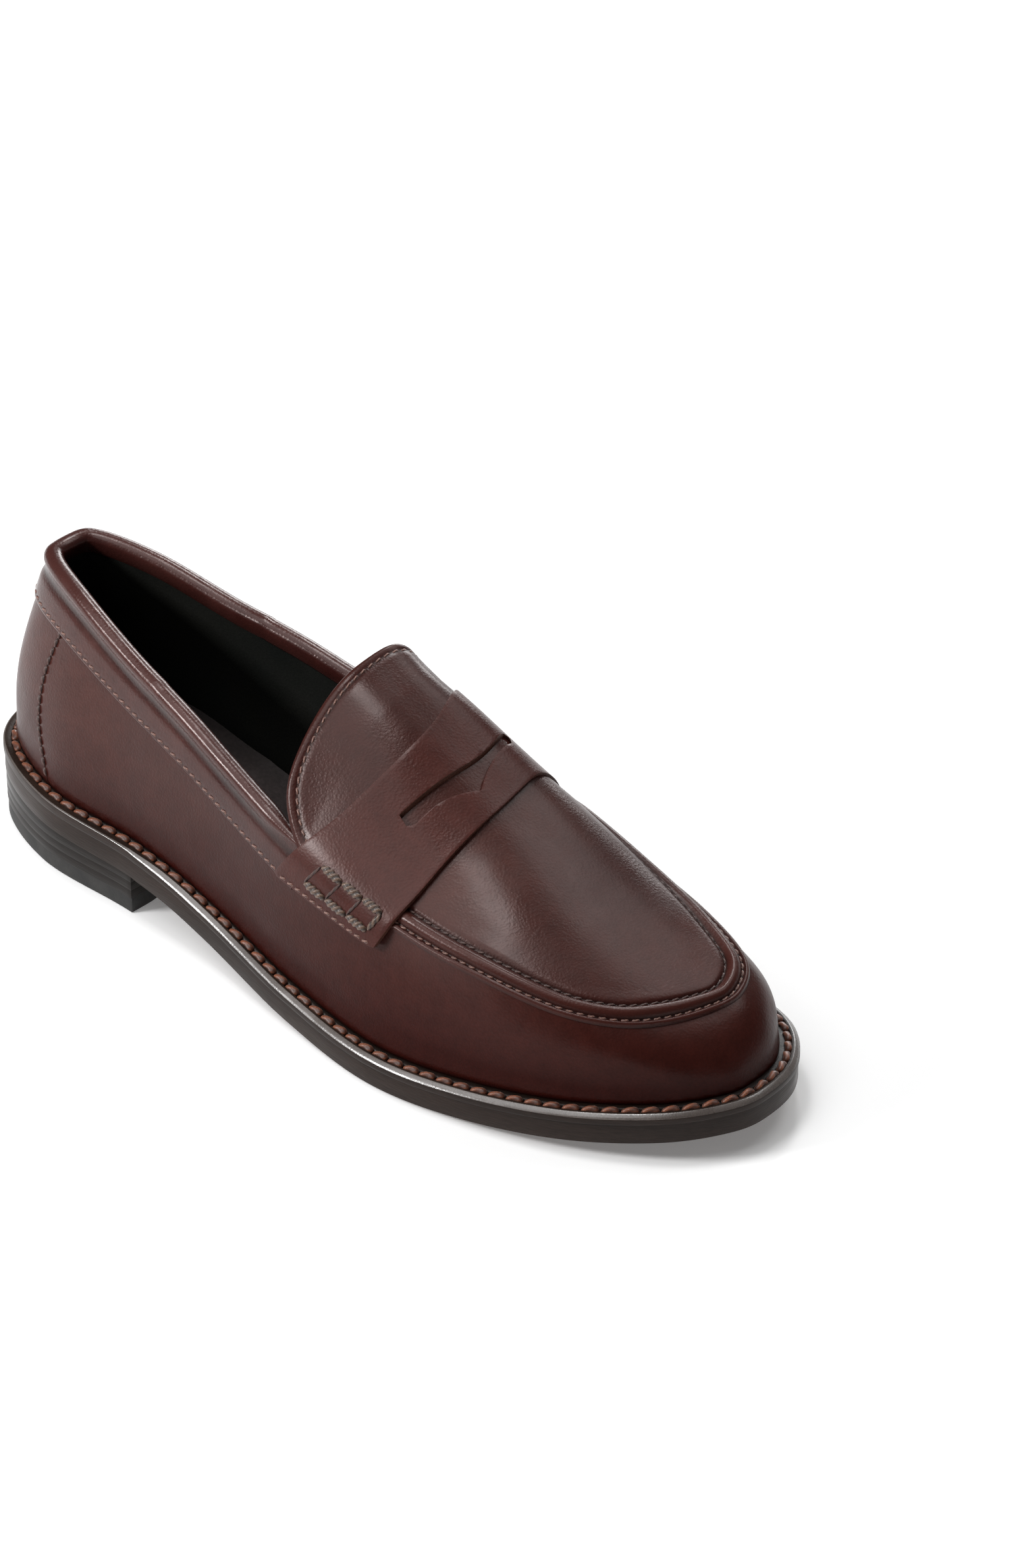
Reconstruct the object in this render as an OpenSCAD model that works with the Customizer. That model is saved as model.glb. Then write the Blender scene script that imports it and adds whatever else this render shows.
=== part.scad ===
// Penny loafer for the right foot: welted leather shoe with a saddle strap.
// X runs from the heel to the toe, +Y is the inner side of the foot, Z is up.
// The origin lies on the ground under the middle of the shoe.

/* [Size] */
// Length of the sole, heel to toe
sole_length = 290; // [250:1:310]
// Width of the shoe against its length, 1 is a standard fitting
width_fit = 1; // [0.94:0.01:1.06]

/* [Bottom] */
// Height of the heel under the sole at the back
heel_height = 15.4; // [12:0.1:22]
// Height of the toe above the ground
toe_spring = 7.9; // [5:0.1:11]
// Thickness of the leather outsole
outsole_t = 6.2; // [4:0.1:8]
// Thickness of the welt
welt_t = 3.2; // [2.6:0.1:4]
// Width of the welt outside the upper at the ball
welt_reach = 7.2; // [5:0.1:9]
// Thickness of the rubber top lift of the heel
top_lift_t = 5; // [3:0.1:6]
// Thickness of the insole board
insole_t = 2.4; // [2:0.1:3.5]
// Thickness of the sock lining
sock_t = 1.2; // [0.8:0.1:2]

/* [Upper] */
// Thickness of the outer leather
leather_t = 1.4; // [1:0.1:1.8]
// Thickness of the heel counter and the toe puff
stiffener_t = 1.1; // [0.8:0.1:1.4]
// Thickness of the lining
lining_t = 0.9; // [0.6:0.1:1.2]
// Thickness of the saddle strap
strap_t = 1.7; // [1.2:0.1:2.2]
// Height of the collar band under the rolled edge
collar_h = 13; // [8:0.5:16]

/* [Stitching] */
// Pitch of the welt stitches
welt_pitch = 5.8; // [5:0.1:9]
// Pitch of the fine stitches of the upper
fine_pitch = 3.2; // [3:0.1:6]

/* [Hidden] */

// Colours
OXBLOOD = [0.26, 0.07, 0.07];
OXBLOOD_LIT = [0.31, 0.09, 0.08];
EDGE_BROWN = [0.12, 0.08, 0.07];
WELT_BROWN = [0.2, 0.12, 0.09];
THREAD_TAN = [0.55, 0.27, 0.14];
THREAD_ROSE = [0.5, 0.34, 0.28];
THREAD_DARK = [0.1, 0.04, 0.04];
LINING_DARK = [0.06, 0.06, 0.055];
SOCK_GREY = [0.2, 0.17, 0.17];
CORK = [0.6, 0.42, 0.26];
BOARD = [0.62, 0.5, 0.38];
STEEL = [0.6, 0.6, 0.62];
RUBBER = [0.06, 0.05, 0.05];

// The shapes below are laid out for a sole 290 long and scaled to sole_length
design_length = 290;
k = sole_length / design_length;

// Outline of the sole in plan: back of the heel, outer side, toe, inner side
OUTLINE = [
    [0, -1], [9, -23], [38, -36], [74, -37.3], [110, -39.7], [150, -46.6],
    [188, -51.2], [222, -46.6], [252, -36.3], [275, -21], [287, -5.4], [290, 7.8],
    [285, 26], [268, 42], [240, 49.6], [212, 50.8], [180, 45.8], [145, 34.7],
    [110, 28], [74, 28.4], [38, 31], [9, 21],
];
// Upper edge of the wall over the same stations: place in plan, height over the welt.
// It is the topline behind the strap and the seam of the apron in front of it.
TOP_EDGE = [
    [13.5, -1, 60], [17, -10, 60.2], [38, -18, 58.6], [72, -24.8, 51.4], [108, -30.3, 47.2],
    [147, -36.5, 43.6], [186, -37.5, 36.4], [217, -35.5, 32.4], [241, -29.5, 27.1],
    [256, -20.5, 23.7], [264, -9, 21.4], [269, 5, 20.5], [270, 18, 20.9],
    [261, 30, 23.2], [240, 36.5, 27.7], [214, 38, 34], [184, 35.5, 43],
    [147, 29, 52.5], [108, 24.5, 52.4], [72, 20.3, 53], [38, 15.3, 58.2], [17, 8.5, 60.2],
];
n_st = len(OUTLINE);
toe_st = n_st / 2;

// Share of heel_height and of toe_spring under the sole, at even steps along it
HEEL_SHARE = [1, .964, .929, .893, .857, .73, .5, .3, .14, .05, .01, 0, 0, 0, 0, 0, 0];
TOE_SHARE = [0, 0, 0, 0, 0, 0, 0, 0, 0, 0, .01, .04, .15, .32, .52, .75, 1];
// Fall of the heel seat over the whole length, as a share of heel_height
seat_fall = 0.036 * 16;

// Wall profile from the toe to the heel: swell and height of the two handles of its curve
LOW_OUT = [2.2, 2.4, 2.6, 2.8, 3, 3.2, 3.4, 3.4, 3.8, 4.6, 5.2, 5.4];
LOW_UP = [.45, .45, .45, .42, .4, .38, .36, .36, .36, .36, .38, .4];
HIGH_OUT = [7.5, 7, 6, 4.5, 3.2, 2.6, 2.2, 2.2, 3, 4.2, 5.2, 5.8];
HIGH_DOWN = [.12, .14, .2, .28, .34, .36, .36, .36, .36, .36, .36, .34];

// Stations of the wall where the pieces of the upper meet
side_seam = 1.95;
strap_rear = 5;
strap_front = 6;
apron_tip = 11.35;
apron_rear = 17;

// Crown of the apron over its two edges, at even steps from the toe to the strap
CROWN = [0, 2, 3.8, 6.2, 9, 12, 14.7, 16.6, 19, 21.2, 23.7];
crown_power = 2.6;
// Shift of the ridge toward the inner side, as a share of the half width
ridge_shift = 0.28;
tongue_tip_x = 130.5;
tongue_corner = 4;
tongue_half = 31;
tongue_crown = 18.5;
TONGUE_EDGE_H = [43.6, 52.5];
TONGUE_TIP_H = [55, 65];

// Strap: lower ends on the wall, as a share of the wall height
strap_low = 0.79;
// Lean of the strap ends toward the heel, in stations
strap_back = 0.12;
// Share of the strap's length, from its middle, that lies on the apron
strap_on_apron = 0.76;
strap_bow_rear = 0.095;
strap_bow_front = 0.032;

// Feather line: where the upper meets the welt
heel_reach_share = 0.8;
breast_x = 77;
stitch_inset = 3.4;
gap = 0.05;
// Rise of the apron over the wall at its raised seam
apron_lift = 0.5;

welt_z = outsole_t + welt_t;
outer_depth = leather_t;
lining_depth = leather_t + stiffener_t + gap;
shell_t = lining_depth + lining_t;
small = 0.02;
y_mid = -0.2 * k * width_fit;

function mix(a, b, t) = a + (b - a) * t;
function unit(v) = v / norm(v);
function catmull(a, b, c, d, t) =
    b + 0.5 * t * (c - a + t * (2 * a - 5 * b + 4 * c - d + t * (3 * (b - c) + d - a)));
// Point at station u on a closed list
function on_loop(pts, u) =
    let (n = len(pts), i = floor(u) + n, f = u - floor(u))
    catmull(pts[(i - 1) % n], pts[i % n], pts[(i + 1) % n], pts[(i + 2) % n], f);
// Value at station u on an open list
function on_list(vals, u) =
    let (
        last = len(vals) - 1,
        c = max(0, min(last - 0.0001, u)),
        i = floor(c),
        before = i > 0 ? vals[i - 1] : 2 * vals[0] - vals[1],
        after = i + 2 <= last ? vals[i + 2] : 2 * vals[last] - vals[last - 1]
    )
    catmull(before, vals[i], vals[i + 1], after, c - i);

// Underside of the sole at x
function tread(x) =
    let (s = x / sole_length * (len(HEEL_SHARE) - 1))
    x < (breast_x + 1) * k
        ? heel_height * (1 - seat_fall * x / sole_length)
        : heel_height * on_list(HEEL_SHARE, s) + toe_spring * on_list(TOE_SHARE, s);
// Top of the welt at x
function deck(x) = tread(x) + welt_z;

function edge2(u) = let (p = on_loop(OUTLINE, u)) [p.x * k, p.y * k * width_fit];
// Outward direction of the outline in plan
function outward(u) =
    let (t = unit(edge2(u + small) - edge2(u - small))) [t.y, -t.x];
// Outline moved inward by d
function inset2(u, d) = edge2(u) - outward(u) * d;
// Distance from the toe in stations, 0 at the toe and 11 at the heel
function from_toe(u) = abs(((u % n_st) + n_st) % n_st - toe_st);
function reach(u) =
    welt_reach * mix(1, heel_reach_share, min(1, max(0, (from_toe(u) - 4) / 3)));
function feather(u) = let (p = inset2(u, reach(u))) [p.x, p.y, deck(p.x)];
function top_edge(u) =
    let (p = on_loop(TOP_EDGE, u), x = p.x * k) [x, p.y * k * width_fit, deck(x) + p.z * k];

// Outer face of the wall at station u, v runs from the welt (0) to the top edge (1)
function wall(u, v) =
    let (
        d = from_toe(u),
        o = [outward(u).x, outward(u).y, 0],
        f = feather(u),
        t = top_edge(u),
        h = [0, 0, t.z - f.z],
        a = f + h * on_list(LOW_UP, d) + o * on_list(LOW_OUT, d) * k,
        b = t - h * on_list(HIGH_DOWN, d) + o * on_list(HIGH_OUT, d) * k,
        w = 1 - v
    )
    f * w * w * w + a * 3 * w * w * v + b * 3 * w * v * v + t * v * v * v;
function wall_normal(u, v) =
    let (
        lo = max(0, v - small),
        hi = min(1, v + small)
    )
    unit(cross(wall(u + small, v) - wall(u - small, v), wall(u, hi) - wall(u, lo)));
function wall_in(u, v, depth) = wall(u, v) - wall_normal(u, v) * depth;

// Height share of the crown at v, with its ridge moved toward the inner side
function arch(v, shift) = 1 - pow(abs(v - shift * (1 - v * v)), crown_power);
// Outer face of the apron: s runs from the toe (0) to the strap (1), v from side to side
function apron(s, v) =
    let (
        q = pow(max(s, 0), 0.55),
        a = top_edge(mix(apron_tip, strap_rear, q)),
        b = top_edge(mix(apron_tip, apron_rear, q)),
        crown = on_list(CROWN, s * (len(CROWN) - 1)) * k
    )
    mix(a, b, (v + 1) / 2) + [0, 0, crown * arch(v, ridge_shift * min(1, s))];
// Outer face of the tongue: t runs from the strap (0) to the tip (1)
function tongue(t, v) =
    let (
        a = top_edge(strap_rear),
        b = top_edge(apron_rear),
        tip_x = (tongue_tip_x + tongue_corner * pow(abs(v), 3)) * k,
        x = mix(mix(a.x, b.x, (v + 1) / 2), tip_x, t),
        mid = mix((a.y + b.y) / 2, 0, t),
        half = mix((b.y - a.y) / 2, tongue_half * k * width_fit, t * t),
        low = mix(TONGUE_EDGE_H, TONGUE_TIP_H, t) * k,
        rise = mix(on_list(CROWN, len(CROWN)), tongue_crown, t) * k,
        base = deck(a.x)
    )
    [x, mid + v * half, base + mix(low[0], low[1], (v + 1) / 2)
        + rise * arch(v, ridge_shift)];
// Apron and tongue as one piece: s from 0 at the toe through 1 at the strap to 2 at the tip
function plug(s, v) = s <= 1 ? apron(s, v) : tongue(s - 1, v);
function plug_normal(s, v) =
    let (
        sa = max(0.015, s - small), sb = min(2, s + small),
        va = max(-1, v - small), vb = min(1, v + small),
        sc = max(s, 0.03)
    )
    unit(cross(plug(sc, vb) - plug(sc, va), plug(sb, v) - plug(sa, v)));
function plug_in(s, v, depth) = plug(s, v) - plug_normal(s, v) * depth;

// Saddle strap: a from the outer end (-1) over the ridge to the inner end (1),
// b from its rear edge (0) to its front edge (1)
function strap(a, b) =
    let (
        part = abs(a) / strap_on_apron,
        q = (apron_tip - mix(strap_rear, strap_front, b)) / (apron_tip - strap_rear),
        bow = mix(strap_bow_rear, strap_bow_front, b),
        v = max(-1, min(1, a / strap_on_apron)),
        s = pow(q, 1 / 0.55) - bow * (1 - v * v),
        drop = (abs(a) - strap_on_apron) / (1 - strap_on_apron),
        back = strap_back * drop,
        u = a < 0 ? mix(strap_rear, strap_front, b) - back
                  : mix(apron_rear, n_st - strap_front, b) + back
    )
    part <= 1 ? apron(s, v) : wall(u, mix(1, strap_low, drop));
function strap_normal(a, b) =
    let (e = 0.03)
    unit(cross(strap(min(1, a + e), b) - strap(max(-1, a - e), b),
               strap(a, max(0, b - e)) - strap(a, min(1, b + e))));
function strap_out(a, b, lift) = strap(a, b) + strap_normal(a, b) * lift;

// Steps from a to b
function steps(a, b, n) = [for (i = [0:n]) mix(a, b, i / n)];

// Closed solid between an upper grid and a lower grid of the same size.
// A row whose ends meet is drawn as one point.
module slab(upper, lower) {
    rows = len(upper);
    cols = len(upper[0]);
    count = rows * cols;
    pts = [for (g = [upper, lower]) for (row = g) for (p = row) p];
    tight = [for (row = upper) norm(row[0] - row[cols - 1]) < 0.001];
    at = function (layer, i, j) layer * count + i * cols + (tight[i] ? 0 : j);
    up = [for (i = [0:rows - 2], j = [0:cols - 2])
        [at(0, i, j), at(0, i, j + 1), at(0, i + 1, j + 1), at(0, i + 1, j)]];
    down = [for (i = [0:rows - 2], j = [0:cols - 2])
        [at(1, i + 1, j), at(1, i + 1, j + 1), at(1, i, j + 1), at(1, i, j)]];
    left = [for (i = [0:rows - 2]) [at(0, i, 0), at(0, i + 1, 0), at(1, i + 1, 0), at(1, i, 0)]];
    right = [for (i = [0:rows - 2])
        [at(0, i + 1, cols - 1), at(0, i, cols - 1), at(1, i, cols - 1), at(1, i + 1, cols - 1)]];
    start = [for (j = [0:cols - 2]) [at(0, 0, j + 1), at(0, 0, j), at(1, 0, j), at(1, 0, j + 1)]];
    end = [for (j = [0:cols - 2])
        [at(0, rows - 1, j), at(0, rows - 1, j + 1), at(1, rows - 1, j + 1), at(1, rows - 1, j)]];
    quads = concat(up, down, left, right, start, end);
    tris = [for (q = quads) for (t = [[q[0], q[1], q[2]], [q[0], q[2], q[3]]])
        if (t[0] != t[1] && t[1] != t[2] && t[0] != t[2]) t];
    polyhedron(pts, tris, convexity = 8);
}

// Solid swept through sections of equal length, closed into a ring or capped at both ends
module sweep(sections, ring = false) {
    n = len(sections);
    m = len(sections[0]);
    pts = [for (s = sections) for (p = s) p];
    last = ring ? n - 1 : n - 2;
    sides = [for (i = [0:last], j = [0:m - 1])
        for (t = [
            [i * m + j, i * m + (j + 1) % m, ((i + 1) % n) * m + (j + 1) % m],
            [i * m + j, ((i + 1) % n) * m + (j + 1) % m, ((i + 1) % n) * m + j]]) t];
    caps = ring ? [] : [
        [for (j = [m - 1:-1:0]) j],
        [for (j = [0:m - 1]) (n - 1) * m + j]];
    polyhedron(pts, concat(sides, caps), convexity = 8);
}

// Plate between two heights over a run of the sole, inset from its outline
module plate(d, low, high, u0 = 0, u1 = 11, rows = 33, cols = 4) {
    function row(u, z) =
        let (a = inset2(u, d), b = inset2(n_st - u, d))
        [for (c = steps(0, 1, cols)) let (p = mix(a, b, c)) [p.x, p.y, tread(p.x) + z]];
    us = steps(u0, u1, rows);
    slab([for (u = us) row(u, high)], [for (u = us) row(u, low)]);
}

// Layer of the wall between two depths
module wall_layer(u0, u1, v0, v1, near, far, rows, cols) {
    us = steps(u0, u1, rows);
    vs = steps(v0, v1, cols);
    slab([for (u = us) [for (v = vs) wall_in(u, v, near)]],
         [for (u = us) [for (v = vs) wall_in(u, v, far)]]);
}

// Layer of the apron and the tongue between two depths
module plug_layer(s0, s1, side, near, far, rows, cols) {
    ss = steps(s0, s1, rows);
    vs = steps(-side, side, cols);
    slab([for (s = ss) [for (v = vs) plug_in(s, v, near)]],
         [for (s = ss) [for (v = vs) plug_in(s, v, far)]]);
}

// Row of stitches: every other step of the path carries a short bar of thread
module stitches(path, ups, width, height, fill = 0.62) {
    n = len(path) - 1;
    bars = [for (i = [0:n - 1])
        let (
            a = path[i],
            b = mix(path[i], path[i + 1], fill),
            z = unit(ups[i]),
            side = unit(cross(b - a, z)) * width / 2,
            lift = z * height
        )
        [a - side, b - side, b + side, a + side,
         a - side * 0.7 + lift, b - side * 0.7 + lift, b + side * 0.7 + lift, a + side * 0.7 + lift]];
    pts = [for (bar = bars) for (p = bar) p];
    box = [[0, 1, 2], [0, 2, 3], [6, 5, 4], [7, 6, 4], [0, 4, 5], [0, 5, 1],
           [1, 5, 6], [1, 6, 2], [2, 6, 7], [2, 7, 3], [3, 7, 4], [3, 4, 0]];
    tris = [for (i = [0:n - 1]) for (f = box) [f[2], f[1], f[0]] + [1, 1, 1] * i * 8];
    polyhedron(pts, tris, convexity = 4);
}
// Even points along a dense path
function walk(path) = [for (i = 0, s = 0; i < len(path);
    s = s + (i + 1 < len(path) ? norm(path[i + 1] - path[i]) : 0), i = i + 1) s];
function spaced(path, pitch) =
    let (
        run = walk(path),
        total = run[len(run) - 1],
        n = max(2, round(total / pitch)),
        table = [for (i = [0:len(run) - 1]) [run[i], i]]
    )
    [for (i = [0:n]) let (q = lookup(total * i / n, table), a = min(len(path) - 2, floor(q)))
        mix(path[a], path[a + 1], q - a)];

module place() {
    translate([-sole_length / 2, -y_mid, 0]) children();
}

// Leather outsole under the whole shoe
module outsole() {
    color(EDGE_BROWN) place() plate(0.5, 0, outsole_t, rows = 44);
}

// Welt: a strip of leather all round, with a bevelled upper corner
module welt() {
    bevel = 1.5;
    inner = welt_reach + 5.5;
    section = [[0, 0], [0, welt_t - bevel], [bevel * 1.2, welt_t], [inner, welt_t], [inner, 0]];
    us = [for (i = [0:71]) i * n_st / 72];
    color(WELT_BROWN) place()
        sweep([for (u = us) [for (c = section)
            let (p = inset2(u, c[0]))
            [p.x, p.y, tread(edge2(u).x) + outsole_t + c[1]]]], ring = true);
}

// Chunky lockstitches that lie on the welt
module welt_stitching() {
    dense = [for (u = steps(0, n_st, 400))
        let (p = inset2(u, stitch_inset)) [p.x, p.y, tread(edge2(u).x) + welt_z + gap]];
    path = spaced(dense, welt_pitch);
    color(THREAD_TAN) place()
        stitches(path, [for (p = path) [0, 0, 1]], 1.6, 1, fill = 0.78);
}

// Outline of the heel: the back of the sole, cut by a slightly hollow breast
module heel_plan(d) {
    hollow_r = 160;
    difference() {
        polygon([for (u = steps(-5, 5, 60)) inset2(u, d)]);
        translate([breast_x * k + hollow_r - 2, -3 * k]) circle(r = hollow_r, $fn = 180);
        translate([breast_x * k, -sole_length / 2]) square(sole_length);
    }
}
NAIL_SPOTS = [[14, -1], [24, -17], [46, -23], [66, -22], [24, 12], [46, 17], [66, 15]];
nail_d = 2.2;
nail_top = heel_height * 0.78;
module nail_holes() {
    for (p = NAIL_SPOTS)
        translate([p.x * k, p.y * k, -1]) cylinder(d = nail_d, h = nail_top + 1, $fn = 24);
}
module heel_layer(low, high, d) {
    difference() {
        translate([0, 0, low]) linear_extrude(high - low) heel_plan(d);
        nail_holes();
    }
}
lift_t = (heel_height * 0.7 - top_lift_t) / 2;

// Rubber top lift that walks on the ground
module heel_top_lift() {
    color(RUBBER) place() heel_layer(0, top_lift_t, 1.6);
}
// Leather lifts of the heel stack, the upper one is cut to the slope of the seat
module heel_lift_3() {
    color(EDGE_BROWN) place() heel_layer(top_lift_t, top_lift_t + lift_t, 1.3);
}
module heel_lift_2() {
    color(EDGE_BROWN) place() heel_layer(top_lift_t + lift_t, top_lift_t + 2 * lift_t, 1.05);
}
module heel_lift_1() {
    low = top_lift_t + 2 * lift_t;
    tilt = atan(heel_height * seat_fall / sole_length);
    color(EDGE_BROWN) place() difference() {
        heel_layer(low, heel_height + 2, 0.8);
        translate([0, 0, heel_height]) rotate([0, tilt, 0])
            translate([-20, -100, 0]) cube([200, 200, 20]);
    }
}
// Nails that hold the lifts together
module heel_nails() {
    color(STEEL) place() for (p = NAIL_SPOTS)
        translate([p.x * k, p.y * k, 0.4]) cylinder(d = nail_d, h = nail_top - 0.4, $fn = 24);
}

// Steel shank in the waist, in the hollow inside the welt
module shank() {
    us = steps(2.9, 4.9, 14);
    function row(u, z) =
        let (a = inset2(u, 24 * k), b = inset2(n_st - u, 20 * k))
        [for (c = [0, 0.5, 1]) let (p = mix(a, b, c)) [p.x, p.y, tread(p.x) + z]];
    color(STEEL) place()
        slab([for (u = us) row(u, outsole_t + 1.7)], [for (u = us) row(u, outsole_t + gap)]);
}
// Cork that fills the hollow of the forefoot
module cork_filler() {
    color(CORK) place()
        plate(welt_reach + 6, outsole_t + gap, welt_z - gap, u0 = 5.1, u1 = 11, rows = 22);
}
// Insole board that the foot stands on
module insole_board() {
    color(BOARD) place()
        plate(welt_reach + shell_t + 0.6, welt_z + gap, welt_z + insole_t, rows = 36);
}
// Sock lining over the whole insole
module sock_lining() {
    color(SOCK_GREY) place()
        plate(welt_reach + shell_t + 0.9, welt_z + insole_t + gap, welt_z + insole_t + sock_t,
              rows = 36);
}

// Vamp: one wall of leather from the outer side seam round the toe to the inner one
module vamp() {
    color(OXBLOOD_LIT) place()
        wall_layer(side_seam + 0.01, n_st - side_seam - 0.01, 0.004, 1, 0, outer_depth, 60, 7);
}
// Back counter: the leather round the heel between the side seams
module back_counter() {
    color(OXBLOOD) place()
        wall_layer(-side_seam, side_seam, 0.004, 1, 0, outer_depth, 20, 8);
}
// Apron with the tongue in one piece, raised on its seam
module apron_piece() {
    color(OXBLOOD) place() plug_layer(0, 2, 0.985, -apron_lift, outer_depth - apron_lift, 36, 14);
}

// Rolled collar: a band outside the quarter that turns over the topline
module topline_collar() {
    roll = shell_t / 2 + 0.9;
    us = steps(-strap_rear - 0.05, strap_rear + 0.05, 50);
    function section(u) =
        let (
            h = top_edge(u).z - feather(u).z,
            v0 = 1 - collar_h / h,
            t = top_edge(u),
            n = wall_normal(u, 1),
            up = unit(wall(u, 1) - wall(u, 0.97)),
            c = t - n * (shell_t / 2) + up * 0.2
        )
        concat(
            [for (v = steps(v0, 0.985, 3)) wall(u, v) + wall_normal(u, v) * 0.9],
            [for (a = [20, 60, 90, 120, 160]) c + n * cos(a) * roll + up * sin(a) * roll],
            [wall_in(u, 0.93, shell_t + 0.9)],
            [wall_in(u, 0.93, shell_t + gap)],
            [wall_in(u, 0.985, shell_t + gap), wall_in(u, 1, shell_t + gap) + up * gap,
             t + n * gap + up * gap],
            [for (v = [0.985, mix(v0, 0.985, 0.66), mix(v0, 0.985, 0.33), v0])
                wall(u, v) + wall_normal(u, v) * gap]
        );
    color(OXBLOOD_LIT) place() sweep([for (u = us) section(u)]);
}

// Saddle strap over the instep, with the slot for a coin
module saddle_strap() {
    lift = outer_depth;
    as = steps(-1, 1, 30);
    bs = steps(0, 1, 8);
    color(OXBLOOD) place() difference() {
        slab([for (b = bs) [for (a = as) strap_out(a, b, lift + strap_t)]],
             [for (b = bs) [for (a = as) strap_out(a, b, lift)]]);
        translate([0, 0, 20]) linear_extrude(100) coin_slot();
    }
}
// Slot in plan: straight at the back, two shallow arcs that meet in a point in front
module coin_slot() {
    scale([k, k * width_fit])
        polygon([[170, -20.5], [172.3, -20.5], [174.3, -15], [176.6, -8], [178.6, -2], [180.8, 4],
                 [178, 9], [174.6, 14], [171.8, 19], [169.2, 19.5], [171.4, 12],
                 [173.2, 5], [173.3, -3], [172, -12]]);
}

// Linings
module vamp_lining() {
    color(LINING_DARK) place()
        wall_layer(strap_rear + 0.02, apron_rear - 0.02, 0.03, 0.97, lining_depth, shell_t, 48, 6);
}
module quarter_lining() {
    color(LINING_DARK) place()
        wall_layer(-strap_rear, strap_rear, 0.03, 0.99, lining_depth, shell_t, 40, 7);
}
module apron_lining() {
    color(LINING_DARK) place()
        plug_layer(0.05, 0.98, 0.93, 2.6, 2.6 + lining_t, 22, 12);
}
module tongue_lining() {
    color(LINING_DARK) place()
        plug_layer(1, 1.985, 0.97, outer_depth - apron_lift + gap, outer_depth - apron_lift + lining_t, 14, 12);
}

// Stiffeners between the leather and the lining
module heel_stiffener() {
    color(BOARD) place()
        wall_layer(-3, 3, 0.04, 0.8, outer_depth + gap, lining_depth - gap, 24, 6);
}
module toe_puff() {
    color(BOARD) place()
        wall_layer(8.8, 13.6, 0.05, 0.93, outer_depth + gap, lining_depth - gap, 22, 5);
}

// Rows of stitches on the upper
module wall_row(u0, u1, below, pitch, width, raise, count) {
    us = steps(u0, u1, count);
    dense = [for (u = us) let (v = 1 - below / (top_edge(u).z - feather(u).z))
        wall_in(u, v, -raise)];
    path = spaced(dense, pitch);
    mid = [sole_length / 2, 0, 40];
    stitches(path, [for (p = path) let (d = p - mid) [0, d.y, 12]], width, 0.5);
}
module plug_row(s0, s1, side, pitch, width, raise, count) {
    dense = concat(
        [for (s = steps(s1, s0, count)) plug_in(s, -side, -raise)],
        [for (s = steps(s0, s1, count)) plug_in(s, side, -raise)]);
    path = spaced(dense, pitch);
    stitches(path, [for (p = path) [0, 0, 1]], width, 0.5);
}
module apron_outer_stitching() {
    color(THREAD_ROSE) place() plug_row(0.006, 0.72, 0.94, fine_pitch, 0.7, 0.55, 60);
}
module apron_inner_stitching() {
    color(THREAD_DARK) place() plug_row(0.03, 0.73, 0.8, fine_pitch, 0.7, 0.55, 60);
}
module tongue_stitching() {
    rim = concat(
        [for (t = steps(1.12, 1.86, 16)) plug_in(t, -0.9, -0.55)],
        [for (v = steps(-0.86, 0.86, 24)) plug_in(1.9, v, -0.55)],
        [for (t = steps(1.86, 1.12, 16)) plug_in(t, 0.9, -0.55)]);
    path = spaced(rim, fine_pitch);
    color(THREAD_ROSE) place() stitches(path, [for (p = path) [0, 0, 1]], 0.7, 0.5);
}
module collar_stitching() {
    color(THREAD_ROSE) place()
        wall_row(-strap_rear, strap_rear, collar_h - 1.4, fine_pitch, 0.7, 0.95, 120);
}
module side_seam(sign) {
    dense = [for (v = steps(0.06, 0.76, 30)) wall_in(sign * (side_seam + 0.03), v, -0.05)];
    path = spaced(dense, fine_pitch);
    color(THREAD_DARK) place()
        stitches(path, [for (p = path) [-0.3, -sign, 0.2]], 1, 0.5);
}
module side_seam_stitching_lateral() {
    side_seam(1);
}
module side_seam_stitching_medial() {
    side_seam(-1);
}
module strap_edge(sign) {
    dense = [for (b = steps(0.06, 0.94, 12)) strap_out(sign * 0.975, b, outer_depth + strap_t + 0.05)];
    path = spaced(dense, fine_pitch);
    color(THREAD_ROSE) place() stitches(path, [for (p = path) [0, sign, 1]], 0.8, 0.5);
}
module strap_stitching_lateral() {
    strap_edge(-1);
}
module strap_stitching_medial() {
    strap_edge(1);
}
// Lacing: two rows of thick thread joined by four crossing threads
module strap_lacing(sign) {
    rows = [0.795, 0.875];
    lift = outer_depth + strap_t + 0.05;
    module bar(p, q, w, h) {
        stitches([p, q], [[0, sign, 1], [0, sign, 1]], w, h, fill = 1);
    }
    color(THREAD_TAN) place() for (i = [0:2]) {
        b0 = 0.2 + i * 0.2;
        for (r = rows)
            bar(strap_out(sign * r, b0 + 0.01, lift), strap_out(sign * r, b0 + 0.17, lift), 1.6, 1.2);
    }
    color(THREAD_DARK) place() for (i = [0:3]) {
        b0 = 0.19 + i * 0.2;
        bar(strap_out(sign * (rows[0] + 0.012), b0, lift),
            strap_out(sign * (rows[1] - 0.012), b0, lift), 0.8, 0.6);
    }
}
module strap_lacing_lateral() {
    strap_lacing(-1);
}
module strap_lacing_medial() {
    strap_lacing(1);
}

outsole();
welt();
welt_stitching();
heel_lift_1();
heel_lift_2();
heel_lift_3();
heel_top_lift();
heel_nails();
shank();
cork_filler();
insole_board();
sock_lining();
vamp();
apron_piece();  // apron
back_counter();
topline_collar();
saddle_strap();
vamp_lining();
apron_lining();
quarter_lining();
tongue_lining();
heel_stiffener();
toe_puff();
apron_outer_stitching();
apron_inner_stitching();
tongue_stitching();
collar_stitching();
side_seam_stitching_lateral();
side_seam_stitching_medial();
strap_stitching_lateral();
strap_stitching_medial();
strap_lacing_lateral();
strap_lacing_medial();
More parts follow.
